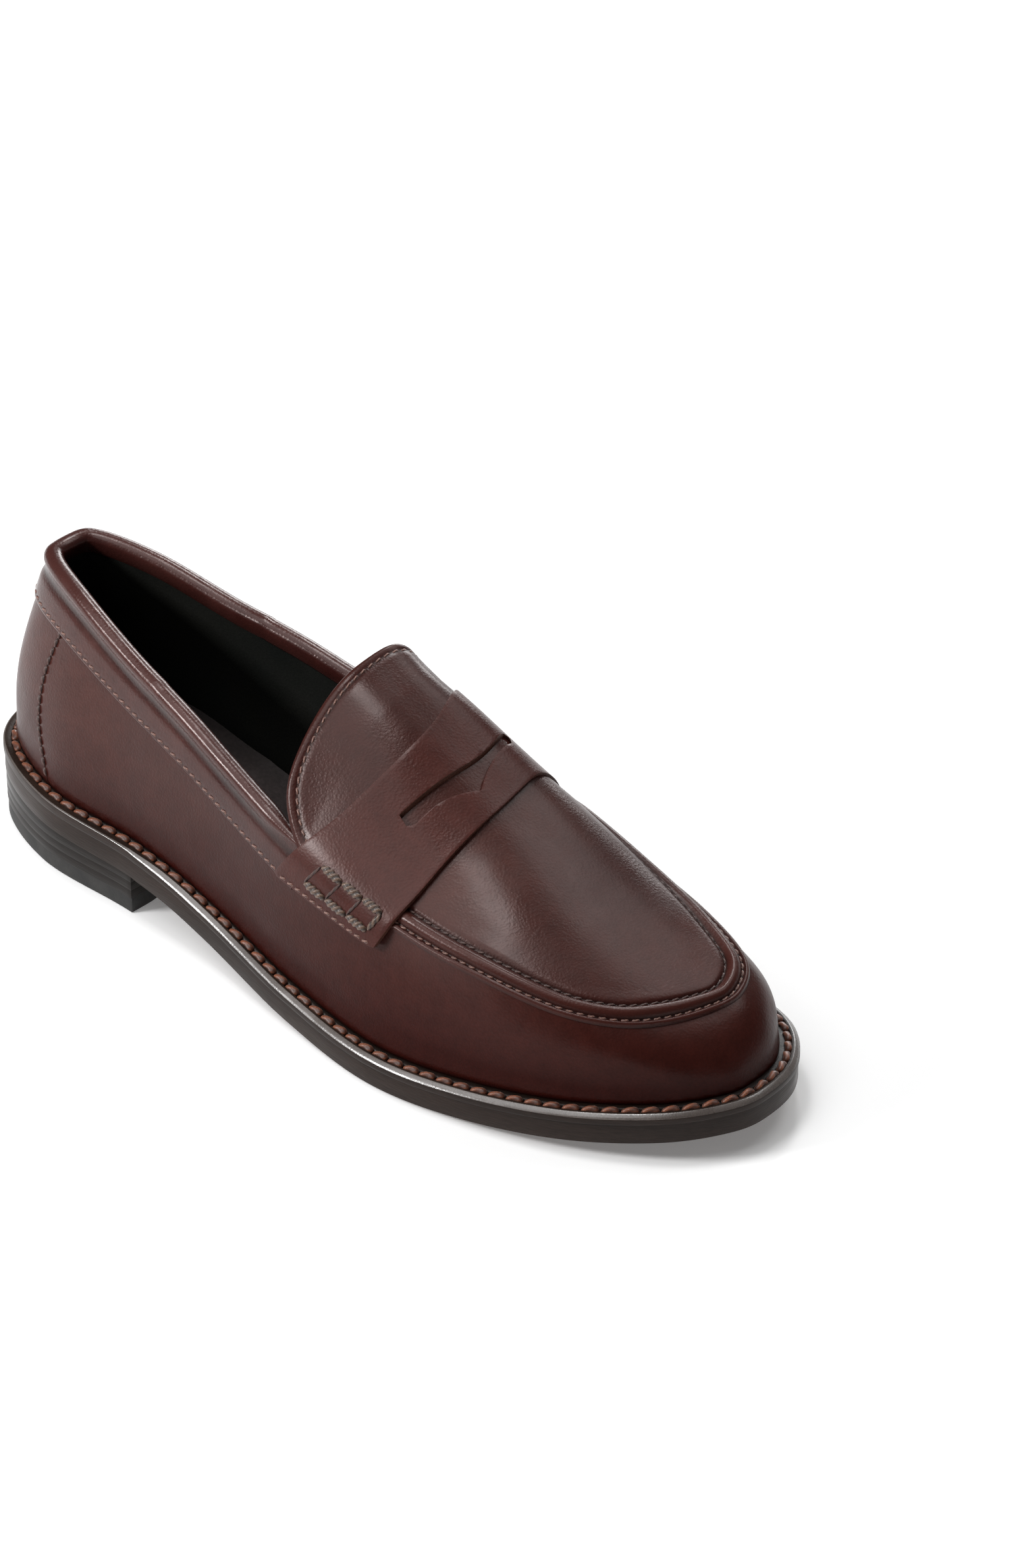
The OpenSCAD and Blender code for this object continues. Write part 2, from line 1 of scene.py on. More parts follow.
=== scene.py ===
# %% [markdown]
# # A penny loafer, piece by piece
#
# This lesson builds a right-foot penny loafer: a slip-on shoe of polished leather with a
# saddle strap over the instep, on a welted sole with a low stacked heel. Each piece is made
# the way a shoemaker would think of it: a flat blank that is laid over the last, the form
# that gives a shoe its shape. In Blender the blank is a flat bmesh grid, and the last is a
# short function that says where a point of the blank ends up.
#
# The frame comes first. It holds the measured model, and every size below is a share of it.

import math
from functools import lru_cache

import bmesh
import bpy
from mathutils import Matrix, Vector


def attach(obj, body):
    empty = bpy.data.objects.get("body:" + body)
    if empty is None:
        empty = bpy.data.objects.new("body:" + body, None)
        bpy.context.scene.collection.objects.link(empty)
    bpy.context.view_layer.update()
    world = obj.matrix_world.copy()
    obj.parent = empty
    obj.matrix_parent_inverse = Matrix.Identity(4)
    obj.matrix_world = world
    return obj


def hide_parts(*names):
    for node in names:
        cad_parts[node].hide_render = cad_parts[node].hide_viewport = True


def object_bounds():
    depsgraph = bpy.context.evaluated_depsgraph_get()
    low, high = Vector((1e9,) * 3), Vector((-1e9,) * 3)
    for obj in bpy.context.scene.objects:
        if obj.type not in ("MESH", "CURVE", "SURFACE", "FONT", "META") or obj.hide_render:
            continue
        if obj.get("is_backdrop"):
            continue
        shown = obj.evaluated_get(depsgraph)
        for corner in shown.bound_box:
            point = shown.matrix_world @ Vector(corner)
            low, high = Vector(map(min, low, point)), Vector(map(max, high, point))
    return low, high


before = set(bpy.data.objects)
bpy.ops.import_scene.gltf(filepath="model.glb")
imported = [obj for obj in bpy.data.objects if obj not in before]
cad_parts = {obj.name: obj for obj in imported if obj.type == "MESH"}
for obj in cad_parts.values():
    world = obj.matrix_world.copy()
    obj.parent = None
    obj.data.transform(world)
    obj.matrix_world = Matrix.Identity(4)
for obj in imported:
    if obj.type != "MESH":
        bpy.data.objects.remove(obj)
cad_low, cad_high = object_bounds()
print("measured model:", [round(1000 * s, 1) for s in cad_high - cad_low], "mm")

# %% [markdown]
# ## Laying out the last
#
# The shoe is laid out in millimetres for a sole 290 long: x from the back of the heel to the
# toe, y toward the inner side, z up from the ground. One function turns such a point into a
# point of the frame, so a longer or wider shoe in the frame scales every piece.

# %% Layout to frame
LAYOUT_LENGTH = 290
LAYOUT_WIDTH = 102.2
Y_MIDDLE = -0.2
MM = (cad_high.x - cad_low.x) / LAYOUT_LENGTH
MM_ACROSS = (cad_high.y - cad_low.y) / LAYOUT_WIDTH


def to_frame(point):
    """A layout point in millimetres as a point of the frame in metres."""
    return Vector((point[0] * MM + cad_low.x, (point[1] - Y_MIDDLE) * MM_ACROSS, point[2] * MM))


print("one layout millimetre is", round(MM * 1000, 4), "mm along and", round(MM_ACROSS * 1000, 4), "across")

# %% [markdown]
# The sole's outline and the upper edge of the leather wall share 22 stations: number 0 is the
# back of the heel, 1 to 10 run along the outer side, 11 is the toe, and 12 to 21 come back
# along the inner side. Smooth curves run through both lists. The upper edge is the topline
# behind the strap and the seam of the apron in front of it.

# %% Stations of the last
SOLE_OUTLINE = [
    (0, -1), (9, -23), (38, -36), (74, -37.3), (110, -39.7), (150, -46.6),
    (188, -51.2), (222, -46.6), (252, -36.3), (275, -21), (287, -5.4), (290, 7.8),
    (285, 26), (268, 42), (240, 49.6), (212, 50.8), (180, 45.8), (145, 34.7),
    (110, 28), (74, 28.4), (38, 31), (9, 21),
]
UPPER_EDGE = [
    (13.5, -1, 60), (17, -10, 60.2), (38, -18, 58.6), (72, -24.8, 51.4), (108, -30.3, 47.2),
    (147, -36.5, 43.6), (186, -37.5, 36.4), (217, -35.5, 32.4), (241, -29.5, 27.1),
    (256, -20.5, 23.7), (264, -9, 21.4), (269, 5, 20.5), (270, 18, 20.9),
    (261, 30, 23.2), (240, 36.5, 27.7), (214, 38, 34), (184, 35.5, 43),
    (147, 29, 52.5), (108, 24.5, 52.4), (72, 20.3, 53), (38, 15.3, 58.2), (17, 8.5, 60.2),
]
STATIONS = len(SOLE_OUTLINE)
TOE = STATIONS // 2
STRAP_REAR, STRAP_FRONT = 5, 6
APRON_TIP, APRON_REAR = 11.35, 17
SIDE_SEAM = 1.95


def mix(a, b, share):
    return a + (b - a) * share


def ease(share):
    """0 to 1 with a soft start and end."""
    share = min(1, max(0, share))
    return share * share * (3 - 2 * share)


def spline(a, b, c, d, share):
    """The smooth curve through b and c, with a and d as the points beyond them."""
    return b + 0.5 * share * (
        c - a + share * (2 * a - 5 * b + 4 * c - d + share * (3 * (b - c) + d - a))
    )


def bezier(start, low, high, end, share):
    rest = 1 - share
    return start * rest**3 + low * 3 * rest * rest * share + high * 3 * rest * share * share + end * share**3


def on_loop(points, station):
    """A point of the smooth closed curve through a list of points."""
    count, start = len(points), math.floor(station)
    four = [Vector(points[(start + step) % count]) for step in (-1, 0, 1, 2)]
    return spline(*four, station - start)


def on_list(values, station):
    """A value of the smooth curve through a list of numbers."""
    last = len(values) - 1
    station = max(0, min(last - 0.0001, station))
    start = math.floor(station)
    before = values[start - 1] if start > 0 else 2 * values[0] - values[1]
    after = values[start + 2] if start + 2 <= last else 2 * values[last] - values[last - 1]
    return spline(before, values[start], values[start + 1], after, station - start)


print("stations:", STATIONS)

# %% [markdown]
# ## The bottom line
#
# A shoe rests on its heel and on the ball. Between them the sole rises to the heel, and the
# toe springs up a little so that it doesn't catch. `tread` gives the height of the sole's
# underside, and `deck` the top of the welt, which the upper stands on.

# %% Heights under the foot
HEEL_HEIGHT, TOE_SPRING = 15.4, 7.9
OUTSOLE_T, WELT_T, WELT_REACH = 6.2, 3.2, 7.2
BREAST_X = 77
HEEL_SHARE = [1, 0.964, 0.929, 0.893, 0.857, 0.73, 0.5, 0.3, 0.14, 0.05, 0.01, 0, 0, 0, 0, 0, 0]
TOE_SHARE = [0, 0, 0, 0, 0, 0, 0, 0, 0, 0, 0.01, 0.04, 0.15, 0.32, 0.52, 0.75, 1]
SEAT_FALL = 0.576


def tread(x):
    if x < BREAST_X + 1:
        return HEEL_HEIGHT * (1 - SEAT_FALL * x / LAYOUT_LENGTH)
    step = x / LAYOUT_LENGTH * (len(HEEL_SHARE) - 1)
    return HEEL_HEIGHT * on_list(HEEL_SHARE, step) + TOE_SPRING * on_list(TOE_SHARE, step)


def deck(x):
    return tread(x) + OUTSOLE_T + WELT_T


@lru_cache(maxsize=None)
def outward(station):
    along = on_loop(SOLE_OUTLINE, station + 0.02) - on_loop(SOLE_OUTLINE, station - 0.02)
    return Vector((along.y, -along.x, 0)).normalized()


@lru_cache(maxsize=None)
def inset(station, distance):
    """A point of the sole's outline, moved inward."""
    edge = on_loop(SOLE_OUTLINE, station)
    return Vector((edge.x, edge.y, 0)) - outward(station) * distance


def from_toe(station):
    return abs(station % STATIONS - TOE)


def reach(station):
    """How far the welt stands out from the upper: less round the heel."""
    return WELT_REACH * mix(1, 0.8, min(1, max(0, (from_toe(station) - 4) / 3)))


print("heel seat", round(tread(0), 1), "waist", round(tread(110), 1), "toe", round(tread(290), 1))

# %% [markdown]
# ## The wall of the last
#
# From the welt up to the topline the side of a last is one soft S in section. A Bezier curve
# of four points says it all: it leaves the welt, swells over the joint of the foot, and leans
# in to the upper edge. The swell changes round the shoe, so its handles come from short lists
# that run from the toe to the heel.

# %% Wall surface
LOW_OUT = [2.2, 2.4, 2.6, 2.8, 3, 3.2, 3.4, 3.4, 3.8, 4.6, 5.2, 5.4]
LOW_UP = [0.45, 0.45, 0.45, 0.42, 0.4, 0.38, 0.36, 0.36, 0.36, 0.36, 0.38, 0.4]
HIGH_OUT = [7.5, 7, 6, 4.5, 3.2, 2.6, 2.2, 2.2, 3, 4.2, 5.2, 5.8]
HIGH_DOWN = [0.12, 0.14, 0.2, 0.28, 0.34, 0.36, 0.36, 0.36, 0.36, 0.36, 0.36, 0.34]
FOOT_FLARE, FLARE_TOP = 1.8, 0.2
HEEL_EASE, HEEL_ROUND = 0.45, 1.2


@lru_cache(maxsize=None)
def upper_edge(station):
    """A point of the upper edge; round the heel the curve is averaged over a short stretch."""
    from_heel = min(station % STATIONS, -station % STATIONS)
    eased = HEEL_EASE * ease(1 - from_heel / HEEL_ROUND)
    point = (on_loop(UPPER_EDGE, station - eased) + on_loop(UPPER_EDGE, station + eased)) / 4
    point += on_loop(UPPER_EDGE, station) / 2
    return Vector((point.x, point.y, deck(point.x) + point.z))


@lru_cache(maxsize=None)
def section(station):
    """The four points of the wall's curve at one station."""
    foot = inset(station, reach(station))
    foot = Vector((foot.x, foot.y, deck(foot.x)))
    top = upper_edge(station)
    rise = Vector((0, 0, top.z - foot.z))
    away = outward(station)
    spot = from_toe(station)
    low = foot + rise * on_list(LOW_UP, spot) + away * on_list(LOW_OUT, spot)
    high = top - rise * on_list(HIGH_DOWN, spot) + away * on_list(HIGH_OUT, spot)
    return foot, low, high, top


def wall(station, up):
    """A point of the wall: up runs from the welt, 0, to the upper edge, 1."""
    foot, low, high, top = section(station)
    flare = outward(station) * FOOT_FLARE * max(0, 1 - up / FLARE_TOP) ** 2
    return bezier(foot, low, high, top, up) + flare


def wall_out(station, up):
    """The direction straight out of the wall."""
    along = wall(station + 0.03, up) - wall(station - 0.03, up)
    rise = wall(station, min(1, up + 0.03)) - wall(station, max(0, up - 0.03))
    return along.cross(rise).normalized()


def wall_height(station):
    foot, low, high, top = section(station)
    return top.z - foot.z


print("wall height at heel, instep and toe:", [round(wall_height(s)) for s in (0, 5, 11)])

# %% [markdown]
# ## The plug: apron and tongue
#
# The apron is the panel on top of the toe, and on this shoe it runs on under the strap and
# ends as the tongue. It is crowned across, with the ridge nearer the inner side, and the
# crown grows from nothing at the toe to the full instep. Seen from above it never folds over,
# so it can be a height for each point of the plan. `plug_height` finds the chord of the apron
# that a point lies on, and adds the crown there.

# %% Plug surface
CROWN = [0, 2, 3.8, 6.2, 9, 12, 14.7, 17.2, 20.8, 24.2, 26.4]
FLANK_OUTER, FLANK_INNER, RIDGE_SHIFT = 2.6, 4.4, 0.3
TONGUE_TIP_X, TONGUE_CORNER, TONGUE_CROWN = 130.5, 4, 19.4
TONGUE_SIDES = (-31, 27.6)
TONGUE_EDGE_H, TONGUE_TIP_H = (43.6, 52.5), (55, 65)
ROW_SPREAD = 0.55


def arch(across, shift):
    """Height across the instep, 0 at the edges and 1 on the ridge; the inner flank is fuller."""
    way = across - shift * (1 - across * across)
    flank = mix(FLANK_OUTER, FLANK_INNER, min(1, shift / 0.2)) if way > 0 else FLANK_OUTER
    return 1 - abs(way) ** flank


def apron(along, across):
    """Apron surface: along from the toe, 0, to the tongue, 1; across from -1 to 1."""
    share = max(along, 0) ** ROW_SPREAD
    outer = upper_edge(mix(APRON_TIP, STRAP_REAR, share))
    inner = upper_edge(mix(APRON_TIP, APRON_REAR, share))
    crown = on_list(CROWN, along * (len(CROWN) - 1)) * arch(across, RIDGE_SHIFT * min(1, along))
    return mix(outer, inner, (across + 1) / 2) + Vector((0, 0, crown))


def tongue(along, across):
    """Tongue surface: along from the strap, 0, to the tip, 1."""
    outer, inner = upper_edge(STRAP_REAR), upper_edge(APRON_REAR)
    tip_x = TONGUE_TIP_X + TONGUE_CORNER * abs(across) ** 3
    x = mix(mix(outer.x, inner.x, (across + 1) / 2), tip_x, along)
    outer_y = mix(outer.y, TONGUE_SIDES[0], along * (0.68 + 0.32 * along))
    inner_y = mix(inner.y, TONGUE_SIDES[1], along * along)
    outer_h = mix(TONGUE_EDGE_H[0], TONGUE_TIP_H[0], along * (0.7 + 0.3 * along))
    inner_h = mix(TONGUE_EDGE_H[1], TONGUE_TIP_H[1], along * (0.35 + 0.65 * along))
    side = (across + 1) / 2
    rise = mix(CROWN[-1], TONGUE_CROWN, along * along) * arch(across, RIDGE_SHIFT)
    return Vector((x, mix(outer_y, inner_y, side), deck(outer.x) + mix(outer_h, inner_h, side) + rise))


CHORD_COUNT = 240
CHORDS = [(step / CHORD_COUNT) ** 1.6 for step in range(CHORD_COUNT + 1)]
CHORD_ENDS = [(apron(s, -1), apron(s, 1)) for s in CHORDS]


def beyond(chord, x, y):
    """More than 0 where the point lies on the toe's side of a chord of the apron."""
    a, b = CHORD_ENDS[chord]
    return (x - a.x) * (b.y - a.y) - (y - a.y) * (b.x - a.x)


def plug_height(x, y):
    """Height of the apron or the tongue over a point of the plan."""
    if beyond(CHORD_COUNT, x, y) > 0:
        low, high = 0, CHORD_COUNT
        while high - low > 1:
            half = (low + high) // 2
            if beyond(half, x, y) > 0:
                high = half
            else:
                low = half
        near, far = beyond(low, x, y), beyond(high, x, y)
        part = min(1, max(0, near / (near - far))) if near != far else 0
        a = mix(CHORD_ENDS[low][0], CHORD_ENDS[high][0], part)
        b = mix(CHORD_ENDS[low][1], CHORD_ENDS[high][1], part)
        across = (y - (a.y + b.y) / 2) / max(0.01, (b.y - a.y) / 2)
        return apron(mix(CHORDS[low], CHORDS[high], part), max(-1, min(1, across))).z
    outer, inner, across = upper_edge(STRAP_REAR), upper_edge(APRON_REAR), 0
    for turn in range(5):
        root_x = mix(outer.x, inner.x, (across + 1) / 2)
        along = (root_x - x) / (root_x - TONGUE_TIP_X - TONGUE_CORNER * abs(across) ** 3)
        at_edge = tongue(along, -1), tongue(along, 1)
        across = (y - (at_edge[0].y + at_edge[1].y) / 2) / ((at_edge[1].y - at_edge[0].y) / 2)
        across = max(-1, min(1, across))
    return tongue(along, across).z


print("height of the ridge at the strap:", round(plug_height(165, 6), 1))

# %% [markdown]
# ## The strap's run
#
# The saddle strap crosses the apron and comes down the wall on each side. `over` runs along
# it from the outer end, -1, to the inner end, 1, and `fore` from its rear edge to its front
# edge.

# %% Strap surface
STRAP_ON_APRON = 0.76
STRAP_LOW_REAR, STRAP_LOW_FRONT = 0.73, 0.79
STRAP_BACK_REAR, STRAP_BACK_FRONT = 0.2, 0.12
BOW_REAR, BOW_FRONT = 0.095, 0.032


def strap(over, fore):
    """The strap's run, close on the apron and the wall below it."""
    if abs(over) <= STRAP_ON_APRON:
        across = over / STRAP_ON_APRON
        share = (APRON_TIP - mix(STRAP_REAR, STRAP_FRONT, fore)) / (APRON_TIP - STRAP_REAR)
        bow = mix(BOW_REAR, BOW_FRONT, fore) * (1 - across * across)
        return apron(share ** (1 / ROW_SPREAD) - bow, across)
    drop = (abs(over) - STRAP_ON_APRON) / (1 - STRAP_ON_APRON)
    back = mix(STRAP_BACK_REAR, STRAP_BACK_FRONT, fore) * drop
    if over < 0:
        station = mix(STRAP_REAR, STRAP_FRONT, fore) - back
    else:
        station = mix(APRON_REAR, STATIONS - STRAP_FRONT, fore) + back
    return wall(station, mix(1, mix(STRAP_LOW_REAR, STRAP_LOW_FRONT, fore), drop))


BEND_FROM = 0.46
HANDLES = {-1: (0.7, 0.7), 1: (0.4, 0.45)}


def over_seam(over):
    """1 where the strap crosses the seam of the apron, 0 away from it."""
    return ease(1 - abs(abs(over) - STRAP_ON_APRON) / 0.28)


def bent_strap(over, fore):
    """The same run, but thick leather won't fold, so it rounds the seam in one long bend."""
    if abs(over) <= BEND_FROM:
        return strap(over, fore)
    side = 1 if over > 0 else -1
    share = (abs(over) - BEND_FROM) / (1 - BEND_FROM)
    start, corner, end = (strap(side * spot, fore) for spot in (BEND_FROM, STRAP_ON_APRON, 1))
    before_start, before_end = strap(side * (BEND_FROM - 0.02), fore), strap(side * 0.9, fore)
    way_in = (start - before_start).normalized() * (corner - start).length * HANDLES[side][0]
    way_out = (before_end - end).normalized() * (corner - end).length * HANDLES[side][1]
    return bezier(start, start + way_in, end + way_out, end, share)


def strap_out(over, fore):
    """The direction straight out of the strap."""
    across = bent_strap(min(1, over + 0.03), fore) - bent_strap(max(-1, over - 0.03), fore)
    forward = bent_strap(over, min(1, fore + 0.05)) - bent_strap(over, max(0, fore - 0.05))
    return forward.cross(across).normalized()


print("strap from", [round(c) for c in strap(-1, 0.5)], "to", [round(c) for c in strap(1, 0.5)])

# %% [markdown]
# ## Tools for blanks
#
# A few helpers make every piece. `blank` cuts a flat grid, `lay` moves each of its points onto
# the last, `weld` joins points that meet, and `mark` writes down at each point how dark it is in
# grooves and creases, mostly painted shade and on the outsole the line of its channel, and how
# much wear and painted highlight it shows on ridges. `make_piece` turns the bmesh into a
# finished piece: it gives the leather its thickness with Solidify, rounds the cut edges with
# Bevel, and ties the piece to the frame.

# %% Bench tools
def blank(lanes_a, lanes_b):
    mesh = bmesh.new()
    bmesh.ops.create_grid(mesh, x_segments=lanes_a, y_segments=lanes_b, size=0.5)
    return mesh


def lay(mesh, surface, verts=None):
    """Moves each grid point onto a surface of two shares, each from 0 to 1."""
    for v in verts or mesh.verts:
        v.co = to_frame(surface(v.co.x + 0.5, v.co.y + 0.5))


def weld(mesh, gap=0.00002):
    bmesh.ops.remove_doubles(mesh, verts=mesh.verts[:], dist=gap)
    mesh.normal_update()


def mark(mesh, name, values):
    """Stores a number at each vertex for the finishes to read."""
    layer = mesh.verts.layers.float.get(name) or mesh.verts.layers.float.new(name)
    for v, value in zip(mesh.verts, values):
        v[layer] = value


def apply_tools(made):
    """Fixes the modifiers' result in the mesh."""
    bpy.context.view_layer.update()
    graph = bpy.context.evaluated_depsgraph_get()
    seen = made.evaluated_get(graph)
    worked = bpy.data.meshes.new_from_object(seen, preserve_all_data_layers=True, depsgraph=graph)
    made.modifiers.clear()
    made.data = worked
    return made


def make_piece(mesh, name, finishes, nodes=(), thick=0, edge=0, crease=50):
    """A bmesh as a piece of the shoe, riding on the frame and standing for its nodes."""
    skin = bpy.data.meshes.new(name)
    mesh.to_mesh(skin)
    mesh.free()
    made = bpy.data.objects.new(name, skin)
    bpy.context.scene.collection.objects.link(made)
    for finish in finishes:
        skin.materials.append(finish)
    for face in skin.polygons:
        face.use_smooth = True
    if thick:
        leather = made.modifiers.new("thickness", "SOLIDIFY")
        leather.thickness, leather.offset = thick * MM, -1
        leather.use_even_offset = leather.use_quality_normals = True
        leather.material_offset_rim = 1 if len(finishes) > 1 else 0
    if edge:
        rounding = made.modifiers.new("edge", "BEVEL")
        rounding.width, rounding.segments = edge * MM, 2
        rounding.limit_method, rounding.angle_limit = "ANGLE", math.radians(crease)
    if thick or edge:
        apply_tools(made)
    made.data.name = name
    made.data.set_sharp_from_angle(angle=math.radians(crease))
    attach(made, "root")
    if nodes:
        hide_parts(*nodes)
    print(f"{name}: {len(made.data.polygons)} faces")
    return made


# %% [markdown]
# ## Tools for finishes
#
# A finish is a node material. `add` makes one node and fills its sockets, from numbers or
# from other nodes. Patterns read Object coordinates, which are metres here, so a scale of
# 1000 gives a grain about a millimetre across.

# %% Finish tools
def add(tree, kind, sockets=None, **settings):
    made = tree.nodes.new("ShaderNode" + kind)
    for key, value in settings.items():
        setattr(made, key, value)
    for key, value in (sockets or {}).items():
        if isinstance(value, bpy.types.NodeSocket):
            tree.links.new(value, made.inputs[key])
        else:
            made.inputs[key].default_value = value
    return made


def start_finish(name, roughness):
    finish = bpy.data.materials.new(name)
    finish.use_nodes = True
    tree = finish.node_tree
    shader = tree.nodes["Principled BSDF"]
    shader.inputs["Roughness"].default_value = roughness
    return finish, tree, shader


def object_place(tree, scale=(1, 1, 1)):
    place = add(tree, "TexCoord").outputs["Object"]
    return add(tree, "Mapping", {"Vector": place, "Scale": scale}).outputs["Vector"]


def noise(tree, place, scale, detail=2.0):
    return add(tree, "TexNoise", {"Vector": place, "Scale": scale, "Detail": detail}).outputs["Fac"]


def span(tree, value, low, high, to_low=0.0, to_high=1.0):
    sockets = {"Value": value, "From Min": low, "From Max": high, "To Min": to_low, "To Max": to_high}
    return add(tree, "MapRange", sockets).outputs["Result"]


def tint(tree, share, first, second, way="MIX"):
    """Two colours mixed by a share, each a colour or a socket."""
    def full(colour):
        return colour if isinstance(colour, bpy.types.NodeSocket) else (*colour, 1)

    sockets = {0: share, 6: full(first), 7: full(second)}
    return add(tree, "Mix", sockets, data_type="RGBA", blend_type=way).outputs[2]


def marked(tree, name):
    return add(tree, "Attribute", attribute_name=name).outputs["Fac"]


def bump(tree, height, depth, strength=1.0, under=None):
    sockets = {"Height": height, "Distance": depth, "Strength": strength}
    if under is not None:
        sockets["Normal"] = under
    return add(tree, "Bump", sockets).outputs["Normal"]


print("finish tools ready")

# %% [markdown]
# ## Polished calf
#
# The upper is calf in a deep oxblood, polished with wax. Its colour is mixed from three tones:
# it is redder low on the vamp, browner in soft clouds, and paler on the seam's ridges and the
# collar's bead, partly wear and partly painted highlight. Every stitched groove, crease and
# tucked foot is darkened with painted shade. Close up it has a fine pebble of pores, and the
# wax leaves a thin clear gloss over a softer shine. The grain is a bump of small cells, and a
# coat carries the gloss, which fades down the wall toward the welt, where the brush doesn't
# reach so well.

# %% Leather finish
def calf(name, deep, worn_and_highlight_tone, low_red, roughness, coat=0.22, grain=1450):
    """Polished calf of three tones: deep, a paler one for wear and painted highlight, and the red low on the
    wall.
    """
    finish, tree, shader = start_finish(name, roughness)
    place = object_place(tree)
    cloud = span(tree, noise(tree, place, 17, 3), 0.36, 0.66)
    tone = tint(tree, cloud, deep, worn_and_highlight_tone)
    height = add(tree, "SeparateXYZ", {"Vector": place}).outputs["Z"]
    tone = tint(tree, span(tree, height, 0.052, 0.018, 0.0, 0.8), tone, low_red)
    mottle = span(tree, noise(tree, place, 210, 4), 0.3, 0.7, 0.86, 1.1)
    tone = tint(tree, 1.0, tone, mottle, "MULTIPLY")
    pebble = add(tree, "TexVoronoi", {"Vector": place, "Scale": grain}, feature="SMOOTH_F1")
    cells = pebble.outputs["Distance"]
    pores = span(tree, cells, 0.35, 0.75, 1.0, 0.86)
    tone = tint(tree, 1.0, tone, pores, "MULTIPLY")
    # Painted shade: the groove mark darkens stitched grooves, creases and the tucked foot of the wall.
    shade = span(tree, marked(tree, "groove"), 0, 1, 1.0, 0.3)
    tone = tint(tree, 1.0, tone, shade, "MULTIPLY")
    # Ridges and the collar's bead are paled toward the lighter tone: partly wear, partly painted highlight.
    tone = tint(tree, span(tree, marked(tree, "wear_and_highlight"), 0, 1, 0, 0.45), tone, worn_and_highlight_tone)
    tree.links.new(tone, shader.inputs["Base Color"])
    gloss = span(tree, noise(tree, place, 95, 3), 0.3, 0.7, roughness - 0.05, roughness + 0.07)
    tree.links.new(gloss, shader.inputs["Roughness"])
    polish = span(tree, height, 0.05, 0.018, 1.0, 0.25)
    tree.links.new(span(tree, polish, 0, 1, 0, 0.24), shader.inputs["Specular IOR Level"])
    shader.inputs["Specular Tint"].default_value = (1.0, 0.8, 0.76, 1)
    tree.links.new(span(tree, polish, 0, 1, 0, coat), shader.inputs["Coat Weight"])
    shader.inputs["Coat Roughness"].default_value = 0.2
    creases = bump(tree, noise(tree, place, 320, 3), 0.00011, 0.35)
    skin = bump(tree, cells, 0.0001, 0.6, creases)
    fine = bump(tree, noise(tree, place, 3400, 2), 0.00002, 0.5, skin)
    tree.links.new(fine, shader.inputs["Normal"])
    return finish


upper_calf = calf(
    "upper_calf", (0.036, 0.008, 0.0058), (0.056, 0.0155, 0.0115), (0.026, 0.003, 0.002),
    roughness=0.34, coat=0.12,
)
strap_calf = calf(
    "strap_calf", (0.048, 0.0118, 0.009), (0.066, 0.018, 0.014), (0.046, 0.0105, 0.008),
    roughness=0.37, coat=0.08,
)
collar_calf = calf(
    "collar_calf", (0.036, 0.009, 0.0075), (0.065, 0.022, 0.018), (0.04, 0.009, 0.007),
    roughness=0.27, grain=1400,
)
print("calf finishes:", upper_calf.name, strap_calf.name, collar_calf.name)

# %% [markdown]
# The other leathers are plainer. The cut edge of the strap shows raw fibre in a paler brown,
# and a thin pale line along its rounded corners is partly raw fibre and partly painted highlight.
# The lining is a matt near-black calf, a colour that also paints the shade inside the shoe, and
# the sock is a dull grey-brown skin. The bottom edges are inked nearly black and burnished with
# a hot iron, which leaves faint streaks along the layers. The welt's trimmed corner is glossy,
# and its pale grey is partly the worn corner's own colour and partly a painted sheen.

# %% Plain leathers and inked edges
def plain_leather(
    name, first, second, roughness, grain=900, depth=0.00008, stretch=(1, 1, 1), gloss_level=0.15
):
    """Leather of two tones with a plain grain, which a stretch turns into streaks."""
    finish, tree, shader = start_finish(name, roughness)
    shader.inputs["Specular IOR Level"].default_value = gloss_level
    place = object_place(tree, stretch)
    cloud = span(tree, noise(tree, place, 40, 4), 0.3, 0.7)
    tone = tint(tree, cloud, first, second)
    fleck = span(tree, noise(tree, place, grain, 3), 0.3, 0.7, 0.8, 1.15)
    tone = tint(tree, 1.0, tone, fleck, "MULTIPLY")
    # Painted shade in grooves, tucks and the sock's edge; on the outsole the same mark draws the line of its
    # closed channel.
    shade = span(tree, marked(tree, "groove"), 0, 1, 1.0, 0.25)
    tree.links.new(tint(tree, 1.0, tone, shade, "MULTIPLY"), shader.inputs["Base Color"])
    gloss = span(tree, noise(tree, place, 120, 2), 0.3, 0.7, roughness - 0.06, roughness + 0.08)
    tree.links.new(gloss, shader.inputs["Roughness"])
    cells = add(tree, "TexVoronoi", {"Vector": place, "Scale": grain}).outputs["Distance"]
    tree.links.new(bump(tree, cells, depth, 0.6), shader.inputs["Normal"])
    return finish


cut_edge = plain_leather("cut_edge", (0.05, 0.018, 0.012), (0.09, 0.035, 0.024), 0.55, 2600)
# A thin pale line on every bevelled corner of the strap: partly raw fibre, partly painted highlight.
fibre_and_highlight_edge = plain_leather("fibre_and_highlight_edge", (0.4, 0.23, 0.165), (0.6, 0.38, 0.29), 0.5, 2600)
# The lining's near-black colour also paints the shade inside the shoe.
lining_calf = plain_leather("lining_calf", (0.006, 0.007, 0.006), (0.011, 0.011, 0.009), 0.75, 1300)
sock_calf = plain_leather("sock_calf", (0.035, 0.027, 0.026), (0.055, 0.044, 0.043), 0.55, 800)
inked_edge = plain_leather(
    "inked_edge", (0.018, 0.0115, 0.0092), (0.032, 0.021, 0.017), 0.34, 700, 0.00005, stretch=(0.35, 0.35, 3)
)
welt_leather = plain_leather("welt_leather", (0.013, 0.0075, 0.0055), (0.03, 0.017, 0.012), 0.42, 1200)
